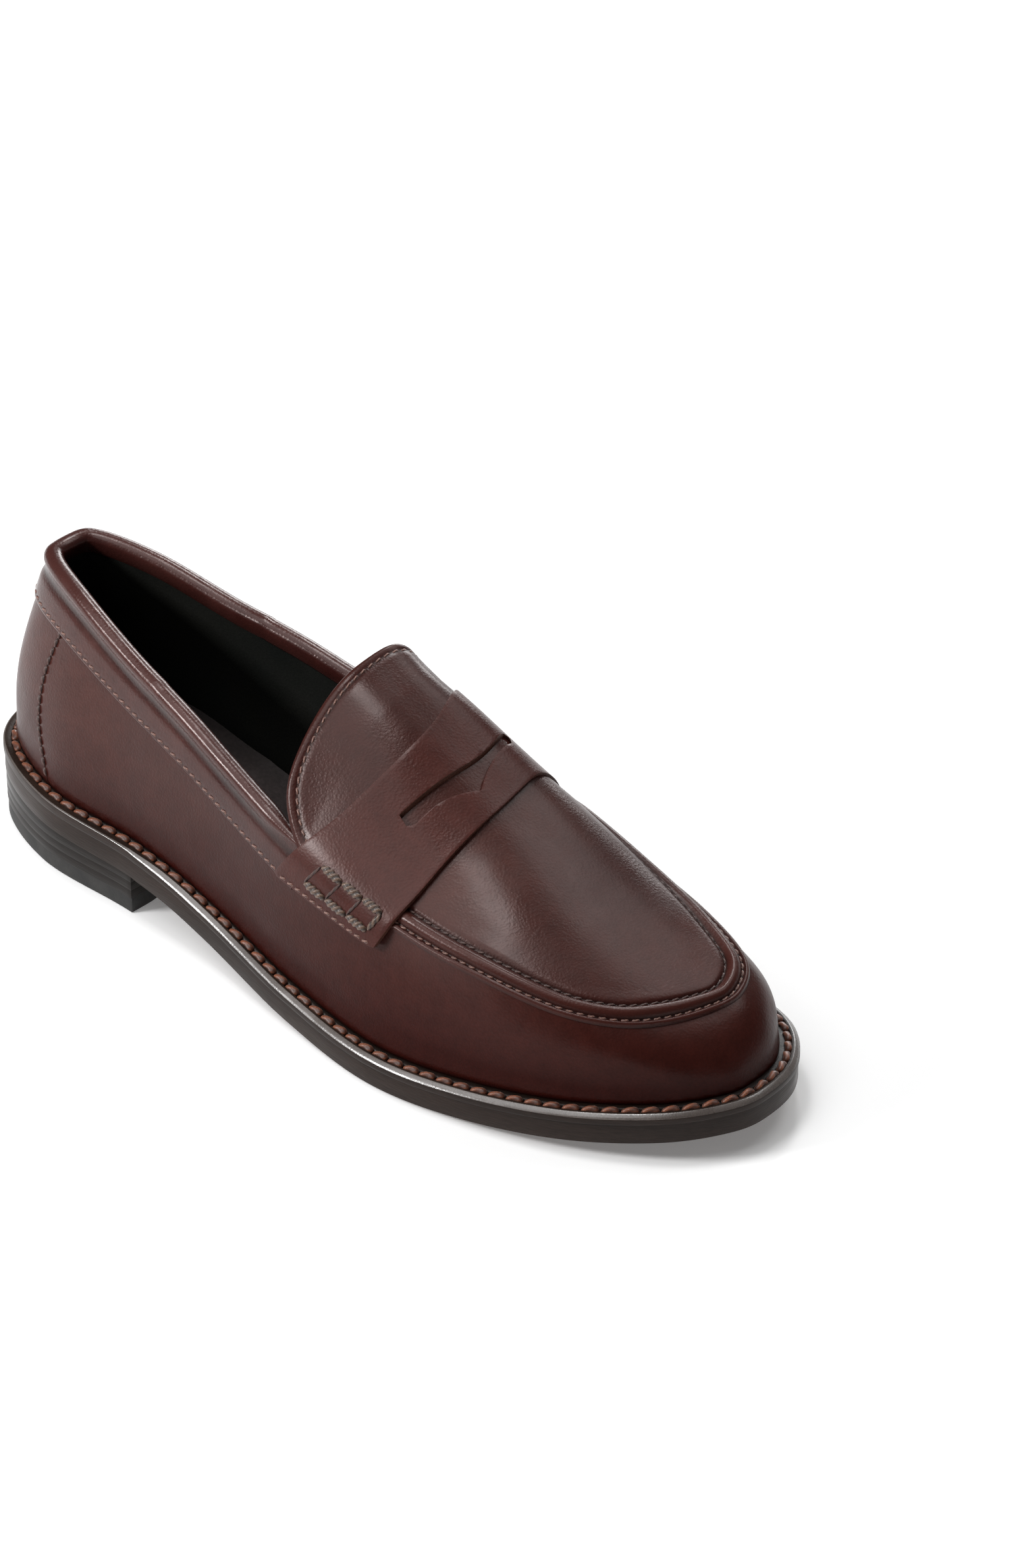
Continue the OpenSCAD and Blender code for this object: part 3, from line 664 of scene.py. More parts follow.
# The trimmed welt corner's pale grey is partly the worn corner's colour, partly painted sheen.
worn_corner_and_sheen = plain_leather(
    "worn_corner_and_sheen", (0.07, 0.055, 0.048), (0.15, 0.13, 0.12), 0.25, 2200, 0.00003, gloss_level=0.9
)
heel_edge = plain_leather(
    "heel_edge", (0.012, 0.0095, 0.0085), (0.021, 0.017, 0.0152), 0.36, 600, 0.00005, stretch=(0.3, 0.3, 4)
)
tread_leather = plain_leather("tread_leather", (0.05, 0.026, 0.016), (0.085, 0.045, 0.028), 0.5, 500, 0.0001)
insole_leather = plain_leather("insole_leather", (0.3, 0.2, 0.12), (0.42, 0.3, 0.19), 0.8, 500, 0.0001)
stiff_board = plain_leather("stiff_board", (0.35, 0.27, 0.18), (0.45, 0.36, 0.26), 0.9, 1500)
print("plain leathers ready")

# %% [markdown]
# Thread is two plies twisted round each other. The twist is in the stitch's own shape, which
# also stores how far a point lies from the crest of a ply, so one finish paints the crests
# lighter and the valleys between the plies darker, as painted highlight and shade, and draws
# the fibres along them. Cork is a mass of pale grains, rubber is dark with a fine dust, and the
# steel of the nails and the shank is ground in one direction.

# %% Thread, cork, rubber and steel
def thread_finish(name, first, second, roughness=0.55):
    finish, tree, shader = start_finish(name, roughness)
    place = object_place(tree)
    # Lighter on the crests of the plies and darker in the valleys between them: painted highlight and shade.
    tone = tint(tree, marked(tree, "twist_shade"), first, second)
    fibre = span(tree, noise(tree, place, 2600, 2), 0.3, 0.7, 0.6, 1.35)
    tree.links.new(tint(tree, 1.0, tone, fibre, "MULTIPLY"), shader.inputs["Base Color"])
    tree.links.new(bump(tree, noise(tree, place, 4200, 1), 0.00005, 0.8), shader.inputs["Normal"])
    shader.inputs["Sheen Weight"].default_value = 0.15
    return finish


welt_thread = thread_finish("welt_thread", (0.2, 0.058, 0.022), (0.055, 0.016, 0.008), 0.42)
rose_thread = thread_finish("rose_thread", (0.23, 0.115, 0.085), (0.07, 0.026, 0.02), 0.45)
dark_thread = thread_finish("dark_thread", (0.07, 0.024, 0.016), (0.022, 0.009, 0.007), 0.5)
lacing_thread = thread_finish("lacing_thread", (0.14, 0.08, 0.05), (0.016, 0.008, 0.006), 0.4)


def cork_finish():
    finish, tree, shader = start_finish("cork_grain", 0.85)
    place = object_place(tree)
    cells = add(tree, "TexVoronoi", {"Vector": place, "Scale": 420})
    tone = tint(tree, span(tree, cells.outputs["Color"], 0.2, 0.8), (0.3, 0.17, 0.08), (0.55, 0.36, 0.19))
    tree.links.new(tone, shader.inputs["Base Color"])
    tree.links.new(bump(tree, cells.outputs["Distance"], 0.0004, 0.8), shader.inputs["Normal"])
    return finish


def rubber_finish():
    finish, tree, shader = start_finish("top_rubber", 0.6)
    place = object_place(tree)
    dust = span(tree, noise(tree, place, 130, 5), 0.4, 0.75)
    tone = tint(tree, dust, (0.01, 0.0095, 0.009), (0.03, 0.027, 0.025))
    tree.links.new(tone, shader.inputs["Base Color"])
    tree.links.new(bump(tree, noise(tree, place, 1500, 3), 0.00008, 0.7), shader.inputs["Normal"])
    return finish


def steel_finish():
    finish, tree, shader = start_finish("ground_steel", 0.35)
    place = object_place(tree, (0.15, 1, 1))
    lines = noise(tree, place, 2400, 2)
    tone = tint(tree, span(tree, lines, 0.3, 0.7), (0.35, 0.35, 0.36), (0.6, 0.6, 0.6))
    tree.links.new(tone, shader.inputs["Base Color"])
    tree.links.new(bump(tree, lines, 0.00003, 0.6), shader.inputs["Normal"])
    shader.inputs["Metallic"].default_value = 1.0
    return finish


cork_grain, top_rubber, ground_steel = cork_finish(), rubber_finish(), steel_finish()
print("thread, cork, rubber and steel ready")

# %% [markdown]
# ## Plates of the bottom
#
# The outsole, the insole board, the cork and the sock are all plates cut to the outline of
# the sole, each a little smaller. One blank serves them all: its rows are chords from the
# outer to the inner side, the first and last rows shrink to a point at heel and toe, and
# extruding the whole sheet upward makes it solid. Bevel then breaks the sharp edges.

# %% Plate tool
def plate(rows, lanes, low, high, margin, first=0.0, last=11.0, edge=0.5, under=None):
    """A plate between two heights over the tread, inside the outline by a margin."""
    mesh = blank(rows, lanes)
    margin_at = margin if callable(margin) else lambda station: margin

    def chord(a, b):
        station = mix(first, last, a)
        outer = inset(station, margin_at(station))
        inner = inset(STATIONS - station, margin_at(STATIONS - station))
        point = mix(outer, inner, 0.5 - 0.5 * math.cos(math.pi * b))
        return Vector((point.x, point.y, tread(point.x) + low))

    lay(mesh, chord)
    weld(mesh)
    raised = bmesh.ops.extrude_face_region(mesh, geom=mesh.faces[:])["geom"]
    top = [g for g in raised if isinstance(g, bmesh.types.BMVert)]
    bmesh.ops.translate(mesh, verts=top, vec=(0, 0, (high - low) * MM))
    bmesh.ops.recalc_face_normals(mesh, faces=mesh.faces[:])
    if edge:
        rim = [e for e in mesh.edges if e.calc_face_angle(0) > 1]
        bmesh.ops.bevel(mesh, geom=rim, offset=edge * MM, offset_type="OFFSET", segments=3,
                        profile=0.5, affect="EDGES", material=-1, clamp_overlap=True)
    mesh.normal_update()
    return mesh


OUTLINE_DENSE = [to_frame(inset(step / 12, 0)).xy for step in range(STATIONS * 12)]


def from_outline(point):
    """How far a point of the frame lies inside the outline, in millimetres."""
    return min((point.xy - edge).length for edge in OUTLINE_DENSE) / MM


print("outline points:", len(OUTLINE_DENSE))

# %% [markdown]
# ## Outsole
#
# The outsole is thick bend leather. Its edge is inked and burnished, and its underside keeps
# the brown of the leather. The thread of the welt runs in a channel cut round the underside,
# which is closed again and leaves a fine dark line 6 mm in from the edge. The line is stored
# as a mark at each vertex, and the lanes there are close enough to carry it.

# %% Outsole
CHANNEL_AT, CHANNEL_WIDTH = 6.5, 1.6


def channel(spot):
    """1 in the closed channel of the underside, 0 away from it."""
    underside = tread(spot.x / MM + LAYOUT_LENGTH / 2) + 1
    if spot.z >= underside * MM:
        return 0
    return max(0, 1 - abs(from_outline(spot) - CHANNEL_AT) / CHANNEL_WIDTH)


mesh = plate(132, 26, 0, OUTSOLE_T, 0.45, edge=0.7)
for face in mesh.faces:
    face.material_index = 1 if face.normal.z < -0.6 else 0
mark(mesh, "groove", [channel(v.co) for v in mesh.verts])
make_piece(mesh, "outsole_leather", [inked_edge, tread_leather], ["outsole"], crease=40)

# %% [markdown]
# ## Welt
#
# The welt is a strip of leather round the whole shoe. The upper is sewn to its inner edge,
# and its outer edge is stitched through to the sole. Its section is a short list of corners:
# a groove holds the stitches, and from the waist forward the upper outer corner is trimmed at
# a slant. The blank is a long grid whose ends meet round the shoe, with the section across.

# %% Welt
CORNER_HEEL, CORNER_FRONT = 0.3, 1.2
GROOVE_AT, GROOVE_DEEP = 3.4, 0.6
WELT_INNER = 12.7


def corner_cut(station):
    """Size of the slanted corner: small at the heel, full from the waist forward."""
    x = inset(station, 0).x
    return mix(CORNER_HEEL, CORNER_FRONT, ease((x - 66) / 26))


def welt_section(station):
    """The welt's section: distance inward from the sole's edge, and height over the outsole."""
    cut, top, at, bottom = corner_cut(station), WELT_T, GROOVE_AT, WELT_T - GROOVE_DEEP
    side = [(0.45, 0), (0.12, 0.18), (0, 0.5), (0, (top - cut) * 0.6), (0, top - cut - 0.12)]
    corner = [(0.06, top - cut + 0.05), (cut * 0.6, top - cut * 0.5)]
    corner += [(cut * 1.2, top - 0.05), (cut * 1.2 + 0.16, top)]
    groove = [(at - 1.15, top), (at - 0.9, top - 0.12), (at - 0.6, bottom), (at, bottom - 0.1)]
    groove += [(at + 0.6, bottom), (at + 0.9, top - 0.12), (at + 1.15, top)]
    inside = [(at + 2.2, top), (8, top), (WELT_INNER, top), (WELT_INNER, 0), (6, 0), (0.45, 0)]
    return side + corner + groove + inside


def welt_shade(lane):
    """Painted shade in the stitched groove, and where the upper stands on the welt."""
    if 11 <= lane <= 13:
        return 1.0
    return 0.75 if lane >= 15 else 0


SECTION_STEPS = len(welt_section(0)) - 1
mesh = blank(352, SECTION_STEPS)


def welt_point(a, b):
    station = a * STATIONS
    distance, height = welt_section(station)[round(b * SECTION_STEPS)]
    point = inset(station, distance)
    return Vector((point.x, point.y, tread(inset(station, 0).x) + OUTSOLE_T + height))


across_section = {v: round((v.co.y + 0.5) * SECTION_STEPS) for v in mesh.verts}
for face in mesh.faces:
    lane = min(across_section[v] for v in face.verts)
    face.material_index = 1 if lane in (5, 6, 7) else (2 if lane < 5 or lane > 17 else 0)
mark(mesh, "groove", [welt_shade(across_section[v]) for v in mesh.verts])
lay(mesh, welt_point)
weld(mesh)
bmesh.ops.recalc_face_normals(mesh, faces=mesh.faces[:])
make_piece(mesh, "welt_strip", [welt_leather, worn_corner_and_sheen, inked_edge], ["welt"], crease=35)

# %% [markdown]
# ## Stitches
#
# A stitch is a short length of twisted thread that dips into the leather at both ends. It is
# a small grid rolled into a tube: `around` goes round the thread and `along` runs its length.
# The radius swells and falls along the stitch, and two plies wind round it. All stitches of a
# row go into one bmesh, so a row is one piece of a few thousand small faces.

# %% Stitch tool
PLIES, FINE_PITCH = 2, 3.2


def stitch(mesh, start, end, up, width, sides, rings, turns, flat=0.75, sink=0.0, bulge=0.22):
    """Adds one stitch of thread between two points of the frame."""
    axis = end - start
    side = axis.cross(up).normalized()
    up = side.cross(axis).normalized()
    twist_shade = mesh.verts.layers.float.get("twist_shade") or mesh.verts.layers.float.new("twist_shade")
    made = bmesh.ops.create_grid(mesh, x_segments=sides, y_segments=rings, size=0.5)["verts"]
    for v in made:
        around, along = (v.co.x + 0.5) * 2 * math.pi, v.co.y + 0.5
        strand = math.cos(PLIES * (around - 2 * math.pi * turns * along))
        swell = max(0, 1 - abs(2 * along - 1) ** 3) ** 0.5
        radius = width / 2 * swell * (1 + bulge * strand)
        rise = (swell - 1) * width * sink
        # 0 on a ply's crest, 1 in the valley between plies, where the finish paints shade.
        v[twist_shade] = 0.5 - 0.5 * strand
        aside, above = math.cos(around) * radius, math.sin(around) * radius * flat + rise
        v.co = start + axis * along + side * aside + up * above


def evenly(points, pitch):
    """Even steps along a dense path of (point, up) pairs, as (start, end, up) spans."""
    run = [0.0]
    for (a, _), (b, _) in zip(points, points[1:]):
        run.append(run[-1] + (b - a).length)
    count = max(2, round(run[-1] / pitch))
    stops, at = [], 0
    for step in range(count + 1):
        goal = run[-1] * step / count
        while at < len(run) - 2 and run[at + 1] < goal:
            at += 1
        share = (goal - run[at]) / max(1e-9, run[at + 1] - run[at])
        here, next_one = points[at], points[at + 1]
        stops.append((mix(here[0], next_one[0], share), mix(here[1], next_one[1], share)))
    return [(a[0], b[0], (a[1] + b[1]).normalized()) for a, b in zip(stops, stops[1:])]


def stitch_row(name, paths, pitch, width, finish, slot, nodes, fill, slant, **shape):
    """One piece that holds rows of even stitches."""
    mesh = bmesh.new()
    total = 0
    for path in paths:
        for start, end, up in evenly(path, pitch):
            aside = (end - start).cross(up).normalized() * slant
            gap = (end - start) * (1 - fill) / 2
            stitch(mesh, start + gap + aside, end - gap - aside, up, width, **shape)
            total += 1
    weld(mesh, 0.000004)
    bmesh.ops.recalc_face_normals(mesh, faces=mesh.faces[:])
    print(name, "has", total, "stitches")
    make_piece(mesh, name, [finish], nodes, crease=80)


def fine_row(name, path, finish, slot, node, width=0.85, fill=0.86):
    """A row of the fine stitches that the upper is sewn with."""
    stitch_row(name, [path], FINE_PITCH * MM, width * MM, finish, slot, [node],
               fill=fill, slant=0.12 * MM, sides=6, rings=5, turns=0.6, sink=0.3)


# %% [markdown]
# ## Welt stitching
#
# The sole is sewn to the welt with thick waxed thread in short, plump stitches that nearly
# touch. They lie in the groove of the welt all round the shoe.

# %% Welt stitching
WELT_PITCH, WELT_THREAD = 5.8, 2.3
path = []
for step in range(441):
    station = step / 440 * STATIONS
    point = inset(station, GROOVE_AT)
    height = tread(inset(station, 0).x) + OUTSOLE_T + WELT_T - 0.15
    path.append((to_frame((point.x, point.y, height)), Vector((0, 0, 1))))
stitch_row("welt_stitches", [path], WELT_PITCH * MM, WELT_THREAD * MM, welt_thread, "welt_thread",
           ["welt_stitching"], fill=0.98, slant=0.22 * MM, sides=10, rings=9, turns=0.55, flat=0.8,
           sink=0.25, bulge=0.16)

# %% [markdown]
# ## Heel
#
# The heel is a stack: a rubber top lift that walks on the ground and leather lifts above it,
# the uppermost cut to the slope of the seat. The front face, called the breast, is slightly
# hollow. The same chords as the plates give each layer its outline, squeezed so that the last
# row lands on the breast. Every layer is a hair smaller than the one above.

# %% Heel layers
TOP_LIFT_T = 5.0
LIFT_T = (HEEL_HEIGHT * 0.7 - TOP_LIFT_T) / 2
BREAST_STATION = 3.09
BREAST_RADIUS = 160


def breast_x(y):
    return min(BREAST_X, BREAST_X + BREAST_RADIUS - 2 - math.sqrt(BREAST_RADIUS**2 - (y + 3) ** 2))


def heel_layer(low, high, margin, edge):
    """A layer of the heel; a height of None follows the seat."""
    mesh = blank(44, 22)
    flat_x = inset(BREAST_STATION, margin).x

    def chord(a, b):
        station = a**0.8 * BREAST_STATION
        outer, inner = inset(station, margin), inset(STATIONS - station, margin)
        point = mix(outer, inner, b)
        x = point.x * (breast_x(point.y) - margin * 0.4) / flat_x
        return Vector((x, point.y, low))

    lay(mesh, chord)
    weld(mesh)
    raised = bmesh.ops.extrude_face_region(mesh, geom=mesh.faces[:])["geom"]
    for v in [g for g in raised if isinstance(g, bmesh.types.BMVert)]:
        v.co.z = (high if high is not None else tread((v.co.x - cad_low.x) / MM) - 0.02) * MM
    bmesh.ops.recalc_face_normals(mesh, faces=mesh.faces[:])
    rim = [e for e in mesh.edges if e.calc_face_angle(0) > 0.9]
    bmesh.ops.bevel(mesh, geom=rim, offset=edge * MM, offset_type="OFFSET", segments=2,
                    profile=0.5, affect="EDGES", material=-1, clamp_overlap=True)
    return mesh


lifts = [
    ("heel_lift_upper", "heel_lift_1", TOP_LIFT_T + 2 * LIFT_T, None, 0.8),
    ("heel_lift_middle", "heel_lift_2", TOP_LIFT_T + LIFT_T, TOP_LIFT_T + 2 * LIFT_T - 0.02, 0.9),
    ("heel_lift_lower", "heel_lift_3", TOP_LIFT_T, TOP_LIFT_T + LIFT_T - 0.02, 1.0),
]
for name, node, low, high, margin in lifts:
    make_piece(heel_layer(low, high, margin, 0.1), name, [heel_edge], [node], crease=40)

# %% [markdown]
# Seven nails hold the lifts together. Their heads sit in holes in the rubber, so the top lift
# is drilled with Boolean, and each nail is a small profile spun once round its axis.

# %% Top lift and nails
NAIL_SPOTS = [(14, -1), (24, -17), (46, -23), (66, -22), (24, 12), (46, 17), (66, 15)]
NAIL_TOP = HEEL_HEIGHT * 0.78
SHAFT_R, HOLE_R = 1.1, 1.3


def cutter(name, mesh, finishes=()):
    """A bmesh as an object for Boolean to cut with."""
    skin = bpy.data.meshes.new(name)
    mesh.to_mesh(skin)
    mesh.free()
    for finish in finishes:
        skin.materials.append(finish)
    made = bpy.data.objects.new(name, skin)
    bpy.context.scene.collection.objects.link(made)
    return made


def cut_with(piece, tool):
    cut = piece.modifiers.new("cut", "BOOLEAN")
    cut.operation, cut.object, cut.solver = "DIFFERENCE", tool, "EXACT"


def spun(profile, spot, steps=20):
    """A closed shape: a profile of (radius, height) spun round an upright axis."""
    mesh = bmesh.new()
    rim = [mesh.verts.new((r * MM, 0, h * MM)) for r, h in profile]
    line = [mesh.edges.new(pair) for pair in zip(rim, rim[1:])]
    bmesh.ops.spin(mesh, geom=rim + line, cent=(0, 0, 0), axis=(0, 0, 1), angle=2 * math.pi,
                   steps=steps, use_merge=True)
    bmesh.ops.remove_doubles(mesh, verts=mesh.verts[:], dist=0.000005)
    bmesh.ops.recalc_face_normals(mesh, faces=mesh.faces[:])
    bmesh.ops.translate(mesh, verts=mesh.verts[:], vec=to_frame((*spot, 0)))
    return mesh


def joined(meshes):
    whole = bmesh.new()
    for mesh in meshes:
        part = bpy.data.meshes.new("part")
        mesh.to_mesh(part)
        whole.from_mesh(part)
        mesh.free()
        bpy.data.meshes.remove(part)
    return whole


nail = [(0, 0.35), (0.7, 0.4), (1.0, 0.55), (SHAFT_R, 0.8), (SHAFT_R, NAIL_TOP - 1.5)]
nail += [(0.5, NAIL_TOP - 0.2), (0, NAIL_TOP)]
nails = joined([spun(nail, spot) for spot in NAIL_SPOTS])
make_piece(nails, "heel_nail_set", [ground_steel], ["heel_nails"], crease=30)
hole = [(0, -1), (HOLE_R, -1), (HOLE_R, 3), (0, 3)]
drill = cutter("drill", joined([spun(hole, spot) for spot in NAIL_SPOTS]))
mesh = heel_layer(0, TOP_LIFT_T - 0.02, 1.35, 0.45)
top_lift = make_piece(mesh, "heel_top_lift_rubber", [top_rubber], ["heel_top_lift"],
                      crease=40)
cut_with(top_lift, drill)
apply_tools(top_lift)
bpy.data.objects.remove(drill)
print("top lift drilled:", len(top_lift.data.polygons), "faces")

# %% [markdown]
# ## Inside the bottom
#
# Between the outsole and the foot lie a steel shank in the waist, cork in the hollow of the
# welt, the insole board that the upper is lasted to, and the sock lining that shows inside.
# The sock follows the lining closely, turns up a little at its edge, and is darkened with painted shade
# toward that edge.

# %% Shank, cork, insole and sock
ON_SOLE, ON_WELT = OUTSOLE_T + 0.05, OUTSOLE_T + WELT_T + 0.05
SHANK_T, INSOLE_T, SOCK_TOP = 1.65, 2.35, 3.55

mesh = plate(30, 6, ON_SOLE, ON_SOLE + SHANK_T, 22, 2.9, 4.9, edge=0.4)
make_piece(mesh, "steel_shank", [ground_steel], ["shank"], crease=40)
mesh = plate(48, 14, ON_SOLE, OUTSOLE_T + WELT_T - 0.05, WELT_REACH + 6, 5.1, 11, edge=0.3)
make_piece(mesh, "cork_filling", [cork_grain], ["cork_filler"], crease=40)
mesh = plate(90, 18, ON_WELT, ON_WELT + INSOLE_T, lambda station: reach(station) + 4.0, edge=0.4)
make_piece(mesh, "insole_leather_board", [insole_leather], ["insole_board"], crease=40)


def sock_margin(station):
    return reach(station) + 3.2 - 1.2 * ease((from_toe(station) - 6) / 3)


mesh = plate(120, 30, ON_WELT + INSOLE_T + 0.05, ON_WELT + SOCK_TOP, sock_margin, edge=0.35)
for v in mesh.verts:
    near = max(0, 1 - (from_outline(v.co) - 8) / 7)
    v.co.z += 1.6 * MM * near * near
# Painted shade toward the sock's edge, where it meets the wall.
mark(mesh, "groove", [0.5 * max(0, 1 - (from_outline(v.co) - 7) / 9) for v in mesh.verts])
make_piece(mesh, "sock_leather_lining", [sock_calf], ["sock_lining"], crease=40)

# %% [markdown]
# ## Vamp and back counter
#
# The vamp is one long wall of calf from the outer side seam round the toe to the inner one.
# The back counter closes it round the heel. The seams between them aren't straight: they bow
# toward the heel. Each blank therefore starts and ends on a curved line, has more lanes near
# the welt and near the top, where the leather turns, and tucks in at the foot, where the real
# leather is drawn round the last. Along the foot a dark line of painted shade lies over the welt.

# %% Wall pieces
SEAM_BOW, SEAM_GAP = 0.25, 0.01
FOOT_TUCK, TUCK_TOP, FOOT_SHADE = 1.1, 0.06, 0.035
LEATHER_T, STIFFENER_T, LINING_T = 1.4, 1.1, 0.9
LINING_DEPTH = LEATHER_T + STIFFENER_T + 0.05
SHELL_T = LINING_DEPTH + LINING_T


def seam_station(up):
    return SIDE_SEAM - SEAM_BOW * math.sin(math.pi * min(1, up))


def wall_blank(lanes_a, lanes_b, first, last):
    """A piece of the wall between two seam lines, each a function of the height share."""
    mesh = blank(lanes_a, lanes_b)

    def surface(a, b):
        up = 0.5 - 0.5 * math.cos(math.pi * b)
        station = mix(first(up), last(up), a)
        fold = max(0, 1 - up / TUCK_TOP) ** 2
        return wall(station, up) - outward(station) * FOOT_TUCK * fold - Vector((0, 0, 0.35 * fold))

    heights = [0.5 - 0.5 * math.cos(math.pi * (v.co.y + 0.5)) for v in mesh.verts]
    lay(mesh, surface)
    mesh.normal_update()
    # Painted shade along the foot of the wall, where it tucks in over the welt.
    mark(mesh, "groove", [max(0, 1 - up / FOOT_SHADE) for up in heights])
    return mesh


def seam_line(side, gap):
    """One of the two side seams as a function of the height share."""
    return lambda up: side * seam_station(up) + gap


mesh = wall_blank(300, 34, seam_line(1, SEAM_GAP), seam_line(-1, STATIONS - SEAM_GAP))
make_piece(mesh, "vamp_calf", [upper_calf, cut_edge], ["vamp"], thick=LEATHER_T, edge=0.45)
mesh = wall_blank(80, 34, seam_line(-1, SEAM_GAP), seam_line(1, -SEAM_GAP))
make_piece(mesh, "back_counter_calf", [upper_calf, upper_calf], ["back_counter"],
           thick=LEATHER_T, edge=0.5)

# %% [markdown]
# ## Side seams
#
# A thick dark thread closes each side seam. It stands up as a cord of long stitches along the
# curved line, from just above the welt to the collar band.

# %% Side seam stitching
def seam_path(side, first=0.05, last=0.8, count=70, lift=0.15):
    path = []
    for step in range(count + 1):
        up = mix(first, last, step / count)
        station = side * seam_station(up)
        out = wall_out(station, up)
        path.append((to_frame(wall(station, up) + out * lift), out))
    return path


for side, name in ((1, "lateral"), (-1, "medial")):
    stitch_row(f"side_seam_thread_{name}", [seam_path(side)], 3.1 * MM, 1.25 * MM, dark_thread, "dark_thread",
               [f"side_seam_stitching_{name}"], fill=1.0, slant=0.16 * MM, sides=8, rings=6, turns=0.6,
               flat=0.8, sink=0.15)

# %% [markdown]
# ## Apron and tongue in one piece
#
# The plug is cut as one piece, and its seam is what makes the shoe a moccasin: a rounded lip
# lies over the vamp, a row of pale stitches sits in a groove beside it, then the leather is
# pinched into a ridge about 5 mm wide, and a second, dark row runs at the foot of the ridge.
# Such a ridge has the same width all round the toe, so a grid of straight lanes won't do.
# The blank here is a ring: `around` follows the edge of the plug, and `inward` runs from the
# edge to the middle line, with its lanes at fixed distances over the leather near the edge.

# %% Edge of the plug
def plug_outline(count):
    """Even points round the plug in plan, from the toe along the outer side and back."""
    dense = [upper_edge(mix(APRON_TIP, STRAP_REAR, step / 160)) for step in range(161)]
    dense += [tongue(step / 24, -1) for step in range(1, 25)]
    dense += [tongue(1, step / 30 - 1) for step in range(1, 61)]
    dense += [tongue(1 - step / 24, 1) for step in range(1, 25)]
    dense += [upper_edge(mix(APRON_REAR, APRON_TIP, step / 160)) for step in range(1, 160)]
    flat = [Vector((p.x, p.y)) for p in dense]
    run = [0.0]
    for a, b in zip(flat, flat[1:] + flat[:1]):
        run.append(run[-1] + (b - a).length)
    even, at = [], 0
    for step in range(count):
        goal = run[-1] * step / count
        while run[at + 1] < goal:
            at += 1
        part = (goal - run[at]) / (run[at + 1] - run[at])
        even.append(mix(flat[at], flat[(at + 1) % len(flat)], part))
    return even


def rounded(points, turns, where):
    """Corners eased by moving each point toward its neighbours, where asked."""
    for turn in range(turns):
        middles = [(points[i - 1] + points[(i + 1) % len(points)]) / 2 for i in range(len(points))]
        points = [mix(p, middle, 0.9 * where(p)) for p, middle in zip(points, middles)]
    return points


AROUND = 360
MIDDLE_FRONT, MIDDLE_REAR = 240, 163


def on_tongue_tip(p):
    """Where the edge is rounded: the tongue, and most on its outer side."""
    return ease((146 - p.x) / 6) * (1 if p.y < 6 else 0.15)


edge_line = rounded(plug_outline(AROUND), 30, on_tongue_tip)


def middle_point(index):
    """Where the lane from one point of the edge meets the lane from the other side."""
    x = (edge_line[index].x + edge_line[-index].x) / 2
    x = max(MIDDLE_REAR, min(MIDDLE_FRONT, x))
    return Vector((x, mix(-3, 2.8, (x - MIDDLE_REAR) / (MIDDLE_FRONT - MIDDLE_REAR))))


print("plug edge:", len(edge_line), "points")

# %% [markdown]
# The seam's profile is a short table, one row for each lane: its distance from the edge over
# the leather, how high the apron and the tongue stand there, how much painted shade the apron
# gets in a groove, and how much wear and painted highlight it shows on the lip and the ridge.
# The tongue has no ridge, only a soft rounded edge and one row of stitches, so it has its own
# heights, and the two are mixed where the strap hides the change.

# %% Seam profile
SEAM_ROWS = [
    (-0.35, -0.1, -0.25, 0.6, 0), (0, 0.6, 0.1, 0.1, 0.5), (0.35, 1.0, 0.35, 0, 0.9),
    (0.8, 1.15, 0.5, 0, 0.9), (1.25, 1.0, 0.52, 0.1, 0.5), (1.6, 0.62, 0.5, 0.5, 0),
    (1.9, 0.28, 0.46, 1, 0), (2.2, 0.25, 0.38, 1, 0), (2.5, 0.5, 0.3, 0.5, 0),
    (2.9, 1.05, 0.26, 0.1, 0.4), (3.4, 1.5, 0.34, 0, 0.8), (4.1, 1.8, 0.46, 0, 1),
    (4.8, 1.85, 0.52, 0, 1), (5.5, 1.6, 0.52, 0, 0.7), (6.1, 1.15, 0.5, 0.1, 0.3),
    (6.5, 0.65, 0.5, 0.4, 0), (6.85, 0.22, 0.5, 0.9, 0), (7.15, 0.1, 0.5, 1, 0),
    (7.5, 0.25, 0.5, 0.8, 0), (8, 0.55, 0.5, 0.2, 0.1), (8.8, 0.72, 0.5, 0, 0.2),
    (10, 0.7, 0.5, 0, 0.1), (12, 0.6, 0.5, 0, 0),
]
SEAM_AT, SEAM_HIGH, TONGUE_HIGH, GROOVE_SHADE, LIP_WEAR_AND_HIGHLIGHT = zip(*SEAM_ROWS)
INNER_LANES, RAY_STEPS = 16, 70
TONGUE_FROM, TONGUE_MIX, LOW_RIDGE_FROM = 176, 16, 192


def tongue_share(x):
    """0 on the apron, 1 on the tongue; the change is under the strap."""
    return ease((TONGUE_FROM - x) / TONGUE_MIX)


def plug_lane(index):
    """Points over the leather from one point of the edge to the middle line."""
    edge, goal = edge_line[index], middle_point(index)
    ray = []
    for step in range(-1, RAY_STEPS + 1):
        spot = mix(edge, goal, step / RAY_STEPS)
        inside = mix(edge, goal, max(0, step) / RAY_STEPS)
        ray.append(Vector((spot.x, spot.y, plug_height(inside.x, inside.y))))
    run = [-(ray[1] - ray[0]).length, 0.0]
    for a, b in zip(ray[1:], ray[2:]):
        run.append(run[-1] + (b - a).length)
    total = run[-1]
    goals = list(SEAM_AT)
    goals += [mix(SEAM_AT[-1], total, (step / INNER_LANES) ** 0.9) for step in range(1, INNER_LANES)]
    lane, at = [], 0
    for distance in goals + [total]:
        while at < len(run) - 2 and run[at + 1] < distance:
            at += 1
        lane.append(mix(ray[at], ray[at + 1], (distance - run[at]) / (run[at + 1] - run[at])))
    return lane


plug_lanes = [plug_lane(index) for index in range(AROUND)]
print("lanes across the plug:", len(plug_lanes[0]))

